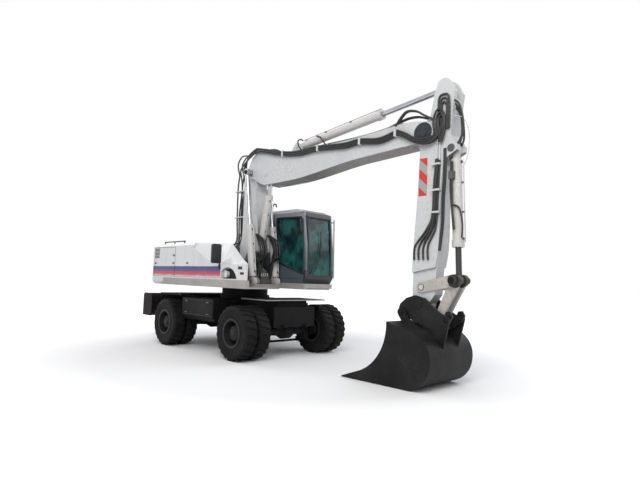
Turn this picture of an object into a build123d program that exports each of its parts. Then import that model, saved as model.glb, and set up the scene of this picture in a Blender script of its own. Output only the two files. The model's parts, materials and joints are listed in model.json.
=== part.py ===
"""Wheeled excavator with a two-piece boom, twin tyres, rear blade and a bucket on a quick coupler.

Millimetres. X points forward, Y to the left, Z up. The origin is on the ground, on the centre
line, midway between the two axles. The upper body is shown facing forward.
"""
import os
from math import cos, hypot, radians, sin

from build123d import *

os.makedirs("parts", exist_ok=True)

# ---------------------------------------------------------------- driving dimensions
run_gap = 0.3            # gap between faces and round fits that turn on each other
side_gap = 1.0           # gap beside a turning boss

# wheels and axles
tyre_r = 525.0
tyre_width = 272.0
tyre_sides = 24
tread_base = 505.0      # middle of a tread facet; the lugs stand on it
tyre_lug = 70.0
twin_gap = 48.0
track_out = 1340.0       # centre line to the outer tyre's outer face
rim_r = 254.0
rim_wall = 14.0
flange_r = 284.0
hub_r = 150.0
axle_front_x = 1325.0
axle_rear_x = -1350.0
axle_tube_r = 92.0
diff_r = 174.0
kingpin_y = 620.0
kingpin_r = 36.0
steer_arm = 290.0
tie_rod_r = 24.0

# undercarriage
belly_z = 640.0
box_half = 430.0
box_top = 1100.0
box_wall = 20.0
box_front_x = 1560.0
box_rear_x = -1480.0
deck_z = 1150.0
deck_thick = 25.0
slew_x = -120.0
ring_r = 520.0
ring_top = 1374.7
lug_x = 1685.0
lug_y = 300.0
lug_low = 620.0
lug_thick = 40.0
lug_bore_r = 25.0
tool_box_out = 1200.0
tool_box_rear = -800.0
tool_box_front = 450.0

# rear blade
blade_half = 1250.0
blade_low = 595.0
blade_high = 1140.0
blade_plate = 28.0
blade_link = 460.0
blade_link_rise = 40.0   # degrees above level with the blade raised
blade_arm_pin = (-1700.0, 600.0)
blade_top_gap = 180.0
blade_ram_foot = (-1400.0, 1010.0)
blade_ram_share = 0.55   # how far along the arm the ram pushes
blade_ram_lift = 102.0

# upper body
deck_low = 1375.0
frame_top = 1400.0
half_width = 1250.0
skirt_high = 1535.0
rear_x = -2440.0
weight_front_x = -1700.0
weight_top = 1810.0
hood_top = 2320.0
hood_front_x = -340.0
hood_wall = 22.0
lid_hinge = (-950.0, hood_top + 9.3)
tank_nose_x = 1600.0
slot_half = 415.0        # open slot for the boom, each side of the centre line
shoulder_z = 1840.0
tower_in = 200.0
tower_out = 226.0

# cab
cab_rear_x = -260.0
cab_front_x = 1470.0
cab_out = 1262.0
platform_top = 1500.0
cab_low = 1500.3
cab_top = 3160.0
cab_wall = 45.0
glass_thick = 8.0
door_rear_x = 330.0
door_hinge_x = 302.0
door_front_x = 1250.0
door_low = 1580.0
door_high = 2990.0

# pins of the working arm, (x, z)
boom_foot = (-170.0, 1900.0)
boom_joint = (195.0, 3970.0)
arm_pivot = (4790.0, 4010.0)
bucket_pin = (4730.0, 1280.0)
rocker_pin = (4760.0, 1530.0)
link_top_pin = (5340.0, 1650.0)
link_low_pin = (5060.0, 1085.0)
hoist_foot = (590.0, 1512.0)
hoist_head = boom_joint
adjust_foot = (385.0, 2230.0)
adjust_head = (705.0, 3885.0)
arm_ram_foot = (1610.0, 4370.0)
arm_ram_head = (5105.0, 4722.0)
bucket_ram_foot = (5270.0, 3690.0)
hoist_y = 318.0

lower_half = 190.0
lower_tongue = 145.0
wing_in = 130.0          # wings beside the adjusting ram's foot
upper_half = 200.0
upper_cheek = 50.0
arm_half = 155.0
plate = 18.0
arm_end_half = 115.0     # the arm's lower end between the rocker plates
rocker_in = 118.0
rocker_out = 150.0
coupler_in = 160.0
coupler_out = 200.0
bucket_half = 620.0
bucket_side = 30.0

# pins of the blade gear, worked out from its link length and angle
rise = radians(blade_link_rise)
step = (-blade_link * cos(rise), blade_link * sin(rise))
link_pin = (blade_arm_pin[0], blade_arm_pin[1] + blade_top_gap)
blade_pin_low = (blade_arm_pin[0] + step[0], blade_arm_pin[1] + step[1])
blade_pin_high = (link_pin[0] + step[0], link_pin[1] + step[1])
arm_mid = (blade_arm_pin[0] + blade_ram_share * step[0], blade_arm_pin[1] + blade_ram_share * step[1])
blade_ram_head = (arm_mid[0], arm_mid[1] + blade_ram_lift)

# hydraulic rams: tube radius, rod radius, gland ring radius, foot pin to gland face, foot eye radius
# and half width, foot pin radius, end of the narrow neck at the foot, head eye radius and half width,
# floor of the bore and the rod's inner end at rest
RAMS = {
    "hoist": dict(foot=hoist_foot, head=hoist_head, ys=(-hoist_y, hoist_y), tube=86, rod=54, ring=92,
                  gland=1265, foot_r=104, foot_w=44, pin=45, neck=112, eye_r=80, eye_w=44, floor=122, inner=700),
    "adjust": dict(foot=adjust_foot, head=adjust_head, ys=(0,), tube=84, rod=50, ring=96,
                   gland=1235, foot_r=84, foot_w=126, pin=42, neck=60, eye_r=72, eye_w=149, floor=120, inner=520),
    "arm": dict(foot=arm_ram_foot, head=arm_ram_head, ys=(0,), tube=80, rod=48, ring=92,
                gland=2205, foot_r=78, foot_w=66, pin=40, neck=175, eye_r=72, eye_w=68, floor=120, inner=1480),
    "bucket": dict(foot=bucket_ram_foot, head=link_top_pin, ys=(0,), tube=84, rod=46, ring=96,
                   gland=1530, foot_r=80, foot_w=62, pin=40, neck=155, eye_r=66, eye_w=56, floor=120, inner=700),
    "blade": dict(foot=blade_ram_foot, head=blade_ram_head, ys=(0,), tube=50, rod=28, ring=62,
                  gland=420, foot_r=46, foot_w=52, pin=26, neck=50, eye_r=34, eye_w=33, floor=70, inner=90),
}


# ---------------------------------------------------------------- helpers
def wrapped(*bosses):
    """Flat XZ outline stretched round (x, z, radius) bosses."""
    with BuildSketch(Plane.XZ) as shape:
        for x, z, r in bosses:
            with Locations((x, z)):
                Circle(r)
        if len(bosses) > 1:
            make_hull()
    return shape.sketch


def outlined(points):
    """Flat XZ outline through (x, z) points."""
    with BuildSketch(Plane.XZ) as shape:
        with BuildLine():
            Polyline(*points, close=True)
        make_face()
    return shape.sketch


def across(face, y0, y1, mode=Mode.ADD):
    """Carry an XZ outline from y0 to y1, added to or cut from the open part."""
    extrude(face.moved(Location((0, y0, 0))), amount=y1 - y0, dir=(0, 1, 0), mode=mode)


def both_sides(face, y0, y1, mode=Mode.ADD):
    """Carry an XZ outline from y0 to y1 on the left and from -y0 to -y1 on the right."""
    across(face, y0, y1, mode)
    across(face, -y0, -y1, mode)


def block(x0, x1, y0, y1, z0, z1, mode=Mode.ADD):
    """Plain block between its low and high corners."""
    across(outlined([(x0, z0), (x1, z0), (x1, z1), (x0, z1)]), y0, y1, mode)


def round_y(at, r, y0, y1, mode=Mode.ADD):
    """Round bar or bore along Y at an (x, z) pin."""
    across(wrapped((at[0], at[1], r)), y0, y1, mode)


def unit(a, b):
    """Direction in XZ from pin a to pin b, and their distance."""
    reach = hypot(b[0] - a[0], b[1] - a[1])
    return ((b[0] - a[0]) / reach, (b[1] - a[1]) / reach), reach


def along(a, b, y, s0, s1, r, mode=Mode.ADD):
    """Round bar or bore on the line from pin a to pin b, from s0 to s1 off pin a."""
    d, _ = unit(a, b)
    plane = Plane(origin=(a[0] + d[0] * s0, y, a[1] + d[1] * s0), x_dir=(0, 1, 0), z_dir=(d[0], 0, d[1]))
    with BuildSketch(plane) as disc:
        Circle(r)
    extrude(disc.sketch, amount=s1 - s0, dir=(d[0], 0, d[1]), mode=mode)


def save(piece, label):
    """Label a finished piece and write it."""
    piece.part.label = label
    export_step(piece.part, "parts/" + label + ".step")


def turned(profile, axis_x, axis_z):
    """Turn (y, radius) points round the Y axis through (axis_x, axis_z)."""
    with BuildSketch(Plane(origin=(axis_x, 0, axis_z), x_dir=(0, 1, 0), z_dir=(1, 0, 0))) as section:
        with BuildLine():
            Polyline(*profile, close=True)
        make_face()
    revolve(section.sketch, axis=Axis((axis_x, 0, axis_z), (0, 1, 0)))


def rings(x, mid, sections):
    """Many-sided outlines round an axle at x, given as (distance along Y from mid, facet distance)."""
    faces = []
    for dy, reach in sections:
        with BuildSketch(Plane.XZ.offset(-mid - dy)) as ring:
            with Locations((x, tyre_r)):
                RegularPolygon(reach, tyre_sides, major_radius=False, rotation=180 / tyre_sides)
        faces.append(ring.sketch)
    return faces


# ---------------------------------------------------------------- undercarriage
with BuildPart() as chassis:
    side = outlined([
        (box_rear_x, box_top), (box_rear_x, 700), (-1000, 700), (-900, belly_z), (900, belly_z),
        (1000, 700), (box_front_x, 700), (box_front_x, box_top)])
    across(side, -box_half, box_half)
    # front cross member with its bumper edge, and the rear cheeks that carry the blade
    block(1500, 1640, -550, 550, 620, 1020)
    both_sides(outlined([
        (box_rear_x, box_top), (box_rear_x, 640), (-1600, 530), (-1780, 530), (-1780, 1060),
        (-1740, box_top)]), 330, 370)
    # pedestal under the slewing ring
    with BuildSketch(Plane.XY.offset(box_top)):
        with Locations((slew_x, 0)):
            Circle(ring_r + 45)
    extrude(amount=100)
    # decks over the wheels on short risers
    for x0, x1, half in ((860, 1700, 790), (-1900, -900, 1180)):
        block(x0 + 60, x1 - 160, -box_half + 30, box_half - 30, box_top, deck_z)
        block(x0, x1, -half, half, deck_z, deck_z + deck_thick)
    # tool boxes between the wheels
    for s in (1, -1):
        with BuildSketch(Plane.YZ.offset(tool_box_rear)):
            with BuildLine():
                Polyline((s * box_half, box_top + 10), (s * tool_box_out, box_top + 10),
                         (s * tool_box_out, 740), (s * (tool_box_out - 70), 650),
                         (s * box_half, 650), close=True)
            make_face()
        extrude(amount=tool_box_front - tool_box_rear)
    # tie-down lugs standing out in front of the cross member
    with BuildSketch(Plane.XY.offset(lug_low)):
        for s in (1, -1):
            with Locations((lug_x, s * lug_y)):
                Circle(2 * lug_bore_r)
            with Locations((lug_x - 30, s * lug_y)):
                Rectangle(60, 4 * lug_bore_r)
        with Locations((lug_x, lug_y), (lug_x, -lug_y)):
            Circle(lug_bore_r, mode=Mode.SUBTRACT)
    extrude(amount=lug_thick)
    # closed hollows of the welded box and of the tool boxes
    block(box_rear_x + box_wall, box_front_x - box_wall, -box_half + box_wall, box_half - box_wall,
          700 + box_wall, box_top - box_wall, Mode.SUBTRACT)
    for s in (1, -1):
        block(tool_box_rear + 8, tool_box_front - 8, s * (box_half + 8), s * (tool_box_out - 80), 660, box_top,
              Mode.SUBTRACT)
    block(1500 + box_wall, 1640 - box_wall, -530, 530, 640, 1000, Mode.SUBTRACT)
    # pins of the blade gear on its cheeks
    both_sides(wrapped((*blade_arm_pin, 34)), 255, 371)
    both_sides(wrapped((*link_pin, 26)), 142, 371)
    # slot in the box's rear for the blade ram, with its foot pin between two ears
    block(box_rear_x - 60, box_rear_x + 150, -55, 55, 840, 1085, Mode.SUBTRACT)
    both_sides(wrapped((*blade_ram_foot, 50), (box_rear_x + 30, 980, 60)), 55, 80)
    round_y(blade_ram_foot, 26, -80, 80)
save(chassis, "chassis")

with BuildPart() as slew_ring:
    with BuildSketch(Plane.XY.offset(box_top + 100)):
        with Locations((slew_x, 0)):
            Circle(ring_r)
            Circle(ring_r - 130, mode=Mode.SUBTRACT)
    extrude(amount=ring_top - box_top - 100)
save(slew_ring, "slew_ring")

# inner face of the inner tyre, and axles: (name, x, steered)
in_face = track_out - 2 * tyre_width - twin_gap
for name, x, steered in (("front_axle", axle_front_x, True), ("rear_axle", axle_rear_x, False)):
    end_y = kingpin_y - 70 if steered else in_face - 13.3
    with BuildPart() as axle:
        turned([(-end_y, 0), (-end_y, axle_tube_r - 10), (-210, axle_tube_r + 14), (-95, diff_r),
                (95, diff_r), (210, axle_tube_r + 14), (end_y, axle_tube_r - 10), (end_y, 0)], x, tyre_r)
        # saddle up to the belly of the box
        block(x - 130, x + 130, -330, 330, tyre_r + 40, 700)
        if steered:
            for s in (1, -1):
                # fork round the kingpin: web and two arms with the pins
                block(x - 70, x + 70, s * (end_y - 50), s * (end_y + 4), tyre_r - 190, tyre_r + 190)
                for low, high in ((tyre_r - 190, tyre_r - 152), (tyre_r + 152, tyre_r + 190)):
                    with BuildSketch(Plane.XY.offset(low)):
                        with Locations((x, s * kingpin_y)):
                            Circle(68)
                        with Locations((x, s * (kingpin_y - 48))):
                            Rectangle(136, 96)
                    extrude(amount=high - low)
                # bore of the kingpin through both arms
                with BuildSketch(Plane.XY.offset(tyre_r - 200)):
                    with Locations((x, s * kingpin_y)):
                        Circle(kingpin_r + run_gap)
                extrude(amount=400, mode=Mode.SUBTRACT)
    save(axle, name)

arm_low = tyre_r - 232
tie_x = axle_front_x - steer_arm
for label, s in (("knuckle_left", 1), ("knuckle_right", -1)):
    pin_at = (axle_front_x, s * kingpin_y)
    # kingpin through the fork, barrel between its arms and the stub that carries the wheel
    with BuildPart() as knuckle:
        for r, low, high in ((kingpin_r, arm_low, tyre_r + 215), (62, tyre_r - 151, tyre_r + 151),
                             (54, tyre_r + 192, tyre_r + 215)):
            with BuildSketch(Plane.XY.offset(low)):
                with Locations(pin_at):
                    Circle(r)
            extrude(amount=high - low)
        round_y((axle_front_x, tyre_r), 128, s * (kingpin_y + 8), s * (in_face - 13.3))
        # steering arm under the fork, with its stub pin for the tie rod
        with BuildSketch(Plane.XY.offset(arm_low)):
            with Locations(pin_at):
                Circle(60)
            with Locations((tie_x, s * kingpin_y)):
                Circle(38)
            make_hull()
        extrude(amount=40)
        with BuildSketch(Plane.XY.offset(arm_low - 60)):
            with Locations((tie_x, s * kingpin_y)):
                Circle(16)
        extrude(amount=62)
    save(knuckle, label)

with BuildPart() as tie_rod:
    tie_z = arm_low - 28
    with BuildSketch(Plane.XZ.offset(-kingpin_y)):
        with Locations((tie_x, tie_z)):
            Circle(tie_rod_r)
    extrude(amount=2 * kingpin_y)
    tie_ends = ((tie_x, kingpin_y), (tie_x, -kingpin_y))
    with BuildSketch(Plane.XY.offset(tie_z - 27)):
        with Locations(*tie_ends):
            Circle(34)
    extrude(amount=54)
    with BuildSketch(Plane.XY.offset(tie_z - 30)):
        with Locations(*tie_ends):
            Circle(16 + run_gap)
    extrude(amount=60, mode=Mode.SUBTRACT)
save(tie_rod, "tie_rod")

with BuildPart() as drive_line:
    block(-250, 260, -170, 170, 440, belly_z)
    shafts = ((axle_rear_x + diff_r + run_gap, -250), (260, axle_front_x - diff_r - run_gap))
    for x0, x1 in shafts:
        with BuildSketch(Plane.YZ.offset(x0)):
            with Locations((0, tyre_r)):
                Circle(42)
        extrude(amount=x1 - x0)
save(drive_line, "drive_line")

# wheels: (suffix, x, side)
WHEELS = (("front_left", axle_front_x, 1), ("front_right", axle_front_x, -1),
          ("rear_left", axle_rear_x, 1), ("rear_right", axle_rear_x, -1))
for suffix, x, s in WHEELS:
    starts = (in_face, in_face + tyre_width + twin_gap)
    with BuildPart() as rim:
        disc_y = in_face + tyre_width + twin_gap + 10
        turned([(s * y, r) for y, r in (
            (in_face - 13, 0), (in_face - 13, hub_r - 20), (disc_y - 40, hub_r - 20),
            (disc_y - 40, rim_r - rim_wall), (in_face + 6, rim_r - rim_wall), (in_face + 6, flange_r),
            (in_face + 20, flange_r), (in_face + 20, rim_r), (track_out - 20, rim_r),
            (track_out - 20, flange_r), (track_out - 6, flange_r), (track_out - 6, rim_r - rim_wall),
            (disc_y, rim_r - rim_wall), (disc_y, hub_r), (track_out - 90, hub_r),
            (track_out - 60, hub_r - 40), (track_out - 60, 0))], x, tyre_r)
    save(rim, "rim_" + suffix)
    with BuildPart() as tyres:
        for start in starts:
            mid = s * (start + tyre_width / 2)
            half = tyre_width / 2
            # body with shoulders, dished sides that meet the bore beside the rim's flanges, and the bore
            loft(rings(x, mid, ((-half, 455), (-half + 24, tread_base), (half - 24, tread_base), (half, 455))),
                 ruled=True)
            for end in (1, -1):
                loft(rings(x, mid, ((end * (half + 2), 475), (end * (half - 26), 237.5))), ruled=True,
                     mode=Mode.SUBTRACT)
            loft(rings(x, mid, ((-half, rim_r + 0.5), (half, rim_r + 0.5))), ruled=True, mode=Mode.SUBTRACT)
            # lugs by turns towards one side and the other, the first of them straight down
            for turn, low, high in ((0, -half + 20, 12), (1, -12, half - 20)):
                with BuildSketch(Plane.XZ.offset(-mid - low)):
                    with Locations((x, tyre_r)):
                        with PolarLocations(tyre_r - 15, tyre_sides // 2, 270 + turn * 360 / tyre_sides):
                            Rectangle(30, tyre_lug)
                extrude(amount=low - high)
    save(tyres, "tyres_" + suffix)

# ---------------------------------------------------------------- rear blade gear
with BuildPart() as blade_arms:
    both_sides(wrapped((*blade_arm_pin, 62), (*blade_pin_low, 55)), 262, 322)
    # cross tube with the ears of the ram's rod
    round_y(arm_mid, 40, -270, 270)
    both_sides(wrapped((*arm_mid, 40), (*blade_ram_head, 34)), 34, 58)
    both_sides(wrapped((*blade_arm_pin, 34 + run_gap)), 260, 324, Mode.SUBTRACT)
    both_sides(wrapped((*blade_pin_low, 30 + run_gap)), 260, 324, Mode.SUBTRACT)
save(blade_arms, "blade_arms")

with BuildPart() as blade_links:
    both_sides(wrapped((*link_pin, 46), (*blade_pin_high, 42)), 150, 190)
    both_sides(wrapped((*link_pin, 26 + run_gap)), 149, 191, Mode.SUBTRACT)
    both_sides(wrapped((*blade_pin_high, 24 + run_gap)), 149, 191, Mode.SUBTRACT)
    link_mid = ((link_pin[0] + blade_pin_high[0]) / 2, (link_pin[1] + blade_pin_high[1]) / 2)
    round_y(link_mid, 18, -155, 155)
save(blade_links, "blade_links")

with BuildPart() as blade:
    with BuildSketch(Plane.XZ):
        with BuildLine():
            ThreePointArc((-2420, blade_low), (-2420 + 150, (blade_low + blade_high) / 2), (-2420, blade_high))
            Line((-2420, blade_high), (-2420 + blade_plate, blade_high))
            ThreePointArc((-2420 + blade_plate, blade_high),
                          (-2420 + 150 + blade_plate, (blade_low + blade_high) / 2),
                          (-2420 + blade_plate, blade_low))
            Line((-2420 + blade_plate, blade_low), (-2420, blade_low))
        make_face()
    extrude(amount=blade_half - 20, both=True)
    # end plates
    end = outlined([(-2650, blade_low), (-2650, blade_high - 40), (-2600, blade_high), (-2200, blade_high),
                    (-2200, blade_low + 60), (-2260, blade_low)])
    both_sides(end, blade_half - 25, blade_half)
    # back box and ribs with the two pins
    block(-2290, -2235, -blade_half + 20, blade_half - 20, blade_low + 190, blade_high - 190)
    for y in (236, 326):
        both_sides(wrapped((*blade_pin_low, 52), (-2225, blade_low + 230, 30), (-2225, blade_high - 230, 30)),
                   y, y + 22)
    for y in (122, 194):
        both_sides(wrapped((*blade_pin_high, 44), (-2225, blade_low + 300, 30), (-2225, blade_high - 230, 30)),
                   y, y + 22)
    both_sides(wrapped((*blade_pin_low, 30)), 236, 348)
    both_sides(wrapped((*blade_pin_high, 24)), 122, 216)
save(blade, "blade")


# ---------------------------------------------------------------- hydraulic rams
def ram_tube(spec):
    """Tube bodies with foot eyes, gland and port, bored for the rod."""
    foot, head = spec["foot"], spec["head"]
    with BuildPart() as tube:
        for y in spec["ys"]:
            round_y(foot, spec["foot_r"], y - spec["foot_w"], y + spec["foot_w"])
            along(foot, head, y, 0, spec["neck"], min(spec["tube"], spec["foot_w"] - 1))
            along(foot, head, y, spec["neck"], spec["gland"] - 60, spec["tube"])
            along(foot, head, y, spec["gland"] - 110, spec["gland"], spec["ring"])
            along(foot, head, y, spec["floor"], spec["gland"] + 1, spec["rod"] + run_gap, Mode.SUBTRACT)
            round_y(foot, spec["pin"] + run_gap, y - spec["foot_w"] - 1, y + spec["foot_w"] + 1, Mode.SUBTRACT)
    return tube


def ram_rod(spec):
    """Rods with their head eyes."""
    foot, head = spec["foot"], spec["head"]
    _, reach = unit(foot, head)
    with BuildPart() as rod:
        for y in spec["ys"]:
            along(foot, head, y, spec["inner"], reach - spec["eye_r"], spec["rod"])
            along(foot, head, y, reach - spec["eye_r"] - 40, reach, min(spec["rod"] + 3, spec["eye_w"] - 1))
            round_y(head, spec["eye_r"], y - spec["eye_w"], y + spec["eye_w"])
    return rod


for label in RAMS:
    save(ram_tube(RAMS[label]), label + "_ram_tube")
    save(ram_rod(RAMS[label]), label + "_ram_rod")


# ---------------------------------------------------------------- upper body
with BuildPart() as upper_frame:
    # floor plate over the slewing ring, boom towers, front ears and side skirts
    block(weight_front_x, 700, -half_width + 90, half_width - 90, deck_low, frame_top)
    block(700, tank_nose_x - 40, -half_width + 90, -slot_half + 40, deck_low, frame_top)
    block(700, cab_front_x, slot_half - 40, half_width - 90, deck_low, frame_top)
    block(692, 760, -slot_half, slot_half, deck_low, frame_top + 60)
    tower = wrapped((*boom_foot, 135), (-295, frame_top + 40, 40), (hoist_foot[0] - 20, frame_top + 30, 30),
                    (hoist_foot[0], hoist_foot[1], 85))
    both_sides(tower, tower_in, tower_out)
    round_y(boom_foot, 55, -tower_out - 14, tower_out + 14)
    both_sides(wrapped((*boom_foot, 88)), tower_out, tower_out + 14)
    # hoist ram feet: pin through the eye to an outer ear
    both_sides(wrapped((*hoist_foot, 45)), tower_out - 5, hoist_y + 68)
    both_sides(wrapped((*hoist_foot, 82), (hoist_foot[0] - 80, frame_top, 20), (hoist_foot[0] + 60, frame_top, 20)),
               hoist_y + 48, hoist_y + 68)
    # closed platform under the cab, its front corners rounded
    for inset, low, high, mode in ((0, frame_top, platform_top, Mode.ADD),
                                   (18, frame_top + 10, platform_top - 12, Mode.SUBTRACT)):
        with BuildSketch(Plane.XY.offset(low)):
            with Locations(((cab_rear_x + cab_front_x + 25) / 2, (slot_half + cab_out) / 2)):
                RectangleRounded(cab_front_x + 25 - cab_rear_x - 2 * inset, cab_out - slot_half - 2 * inset, 90 - inset)
        extrude(amount=high - low, mode=mode)
    # skirts along both sides
    block(weight_front_x, tank_nose_x, -half_width, -half_width + 90, deck_low, skirt_high)
    block(weight_front_x, hood_front_x, half_width - 90, half_width, deck_low, skirt_high)
    block(hood_front_x, cab_front_x - 120, half_width - 90, half_width, deck_low, frame_top)
save(upper_frame, "upper_frame")

with BuildPart() as counterweight:
    with BuildSketch(Plane.XY.offset(deck_low)):
        with Locations(((rear_x + weight_front_x) / 2, 0)):
            Rectangle(weight_front_x - rear_x, 2 * half_width)
    extrude(amount=weight_top - deck_low)
    rear_posts = counterweight.edges().filter_by(Axis.Z).group_by(Axis.X)[0]
    fillet(rear_posts, 260)
    chamfer(counterweight.faces().sort_by(Axis.Z)[0].edges().group_by(Axis.X)[0], 60)
save(counterweight, "counterweight")

with BuildPart() as hood:
    with BuildSketch(Plane.XY.offset(skirt_high)):
        with Locations(((rear_x + hood_front_x) / 2, 0)):
            Rectangle(hood_front_x - rear_x, 2 * half_width)
    extrude(amount=hood_top - skirt_high)
    fillet(hood.edges().filter_by(Axis.Z).group_by(Axis.X)[0], 260)
    roof = hood.faces().sort_by(Axis.Z)[-1]
    fillet(roof.edges(), 70)
    # hollow inside, open below
    with BuildSketch(Plane.XY.offset(skirt_high - 1)):
        with Locations(((rear_x + hood_front_x) / 2, 0)):
            RectangleRounded(hood_front_x - rear_x - 2 * hood_wall, 2 * (half_width - hood_wall), 225)
    extrude(amount=hood_top - skirt_high - hood_wall + 1, mode=Mode.SUBTRACT)
    # the counterweight takes the rear part up to its top
    block(rear_x - 10, weight_front_x + run_gap, -half_width - 10, half_width + 10, skirt_high - 10,
          weight_top + run_gap, Mode.SUBTRACT)
    # opening under the lid
    block(-1900, -950, -800, 800, hood_top - 100, hood_top + 10, Mode.SUBTRACT)
save(hood, "hood")

with BuildPart() as hood_lid:
    block(-1892, -958, -792, 792, hood_top - 34, hood_top + 2)
    block(-1925, -958, -825, 825, hood_top + run_gap, hood_top + 14)
    # hinge leaves and barrels along the front edge
    for low in (-640, 480):
        block(-975, lid_hinge[0], low, low + 160, hood_top + run_gap, hood_top + 14)
        round_y(lid_hinge, 9, low, low + 160)
save(hood_lid, "hood_lid")

with BuildPart() as engine:
    block(-1620, -760, -420, 420, 1480, 2060)
    for x in (-1560, -880):
        block(x, x + 90, -380, -300, frame_top, 1480)
        block(x, x + 90, 300, 380, frame_top, 1480)
save(engine, "engine")

# right front housing over the tank, its heights taken level by level and its other sizes inwards from
# the outer face: x, inner wall, top of the inner wall, crest and its height, ridge and its height, shoulder
deep = half_width - slot_half - 12
HOUSING = ((hood_front_x + 5, deep, 2315, deep - 6, 2317, 75, 2316, 2200),
           (-240, deep, 2312, deep - 8, 2313, 100, 2312, 2150),
           (480, deep, 1885, 408, 2290, 240, 2290, shoulder_z),
           (750, 640, 1875, 255, 2280, 240, 2280, shoulder_z),
           (1250, 290, 1861, 188, 1950, 171, 1956, shoulder_z),
           (tank_nose_x, 45, 1849, 40, 1853, 35, 1852, shoulder_z - 6))


def housing_faces(rows, wall):
    """Cross-sections of the housing above the skirt, set in by the wall."""
    faces = []
    for x, inner, inner_z, crest, crest_z, ridge, ridge_z, shoulder in rows:
        low = skirt_high + run_gap + wall
        with BuildSketch(Plane.YZ.offset(x)) as section:
            with BuildLine():
                Polyline((inner - wall - half_width, low), (inner - wall - half_width, inner_z - wall),
                         (min(crest, inner - wall - 4) - half_width, crest_z - 1.5 * wall),
                         (ridge - half_width, ridge_z - 1.5 * wall),
                         (wall - half_width, shoulder - wall), (wall - half_width, low), close=True)
            make_face()
        faces.append(section.sketch)
    return faces


def housing_base(wall, low, high, mode):
    """Prism of the housing between the skirts and the floor plate, set in by the wall."""
    outer = 92 + wall - half_width
    with BuildSketch(Plane.XY.offset(low)) as plan:
        with BuildLine():
            Polyline((hood_front_x + 5 + wall, outer), (hood_front_x + 5 + wall, deep - wall - half_width),
                     (480 - wall / 2, deep - wall - half_width), (1532 - 2 * wall, outer), close=True)
        make_face()
    extrude(plan.sketch, amount=high - low, mode=mode)


with BuildPart() as tank_housing:
    loft(housing_faces(HOUSING, 0), ruled=True)
    housing_base(0, frame_top + run_gap, skirt_high + 30, Mode.ADD)
    loft(housing_faces([(hood_front_x + 33, *HOUSING[0][1:])] + list(HOUSING[1:5]), 28), ruled=True,
         mode=Mode.SUBTRACT)
    housing_base(28, frame_top + 28, skirt_high + 40, Mode.SUBTRACT)
    # backing of the niche
    block(720, 1350, -half_width + 20, -half_width + 115, skirt_high + 10, 1790)
    # niche with the filler and two small vents in the outer side
    with BuildSketch(Plane.XZ.offset(half_width)):
        with BuildLine():
            Line((750, skirt_high + 20), (760, 1700))
            ThreePointArc((760, 1700), (1110, 1760), (1310, skirt_high + 20))
            Line((1310, skirt_high + 20), (750, skirt_high + 20))
        make_face()
    extrude(amount=-90, mode=Mode.SUBTRACT)
    block(1330, 1480, -half_width - 1, -half_width + 14, 1740, 1800, Mode.SUBTRACT)
    block(1400, 1540, -half_width - 1, -half_width + 14, 1640, 1690, Mode.SUBTRACT)
    with BuildSketch(Plane.XZ.offset(half_width - 90)):
        with Locations((900, 1650)):
            Circle(62)
    extrude(amount=70)
save(tank_housing, "tank_housing")

# ---------------------------------------------------------------- cab
cab_side = [(cab_rear_x, cab_low), (cab_front_x - 90, cab_low), (cab_front_x, cab_low + 140), (cab_front_x - 20, 2300),
            (cab_front_x - 110, cab_top - 90), (cab_front_x - 330, cab_top - 10), (cab_rear_x + 120, cab_top),
            (cab_rear_x, cab_top - 90)]
cab_void = [(cab_rear_x + cab_wall, cab_low + 60), (cab_front_x - 110, cab_low + 60),
            (cab_front_x - cab_wall, cab_low + 160), (cab_front_x - 20 - cab_wall, 2300),
            (cab_front_x - 145, cab_top - 130), (cab_front_x - 350, cab_top - 60), (cab_rear_x + 140, cab_top - 55),
            (cab_rear_x + cab_wall, cab_top - 120)]
right_window = [(430, 2010), (430, 2930), (480, 2980), (1250, 2960), (1330, 2880), (1385, 2300), (1400, 1760),
                (1330, 1730), (560, 1960)]
front_low = 1680
rear_window = (1900, 2900)
with BuildPart() as cab_shell:
    across(outlined(cab_side), slot_half, cab_out)
    across(outlined(cab_void), slot_half + cab_wall, cab_out - cab_wall, Mode.SUBTRACT)
    across(outlined(right_window), slot_half - 1, slot_half + cab_wall + 1, Mode.SUBTRACT)
    # windscreen and rear window openings
    block(cab_front_x - 200, cab_front_x + 1, slot_half + 75, cab_out - 75, front_low, 2960, Mode.SUBTRACT)
    block(cab_rear_x - 1, cab_rear_x + cab_wall + 1, slot_half + 90, cab_out - 90, *rear_window, Mode.SUBTRACT)
    # left side: door opening and rear side window
    block(door_rear_x, door_front_x, cab_out - cab_wall - 1, cab_out + 1, door_low, door_high, Mode.SUBTRACT)
    block(cab_rear_x + 90, door_rear_x - 70, cab_out - cab_wall - 1, cab_out + 1, 1950, 2930, Mode.SUBTRACT)
save(cab_shell, "cab_shell")

with BuildPart() as cab_glass:
    glass_set = 12
    across(outlined([(x + (0.4 if x < 900 else -0.4), z + (0.4 if z < 2100 else -0.4)) for x, z in right_window]),
           slot_half + glass_set, slot_half + glass_set + glass_thick)
    slope = [(cab_front_x - 14, front_low + 0.4), (cab_front_x - 34, 2300), (cab_front_x - 102, 2959.6),
             (cab_front_x - 102 - glass_thick, 2959.6), (cab_front_x - 34 - glass_thick, 2300),
             (cab_front_x - 14 - glass_thick, front_low + 0.4)]
    across(outlined(slope), slot_half + 75.4, cab_out - 75.4)
    block(cab_rear_x + glass_set, cab_rear_x + glass_set + glass_thick, slot_half + 90.4, cab_out - 90.4,
          rear_window[0] + 0.4, rear_window[1] - 0.4)
    block(cab_rear_x + 90.4, door_rear_x - 70.4, cab_out - glass_set - glass_thick, cab_out - glass_set,
          1950.4, 2929.6)
save(cab_glass, "cab_glass")

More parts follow.
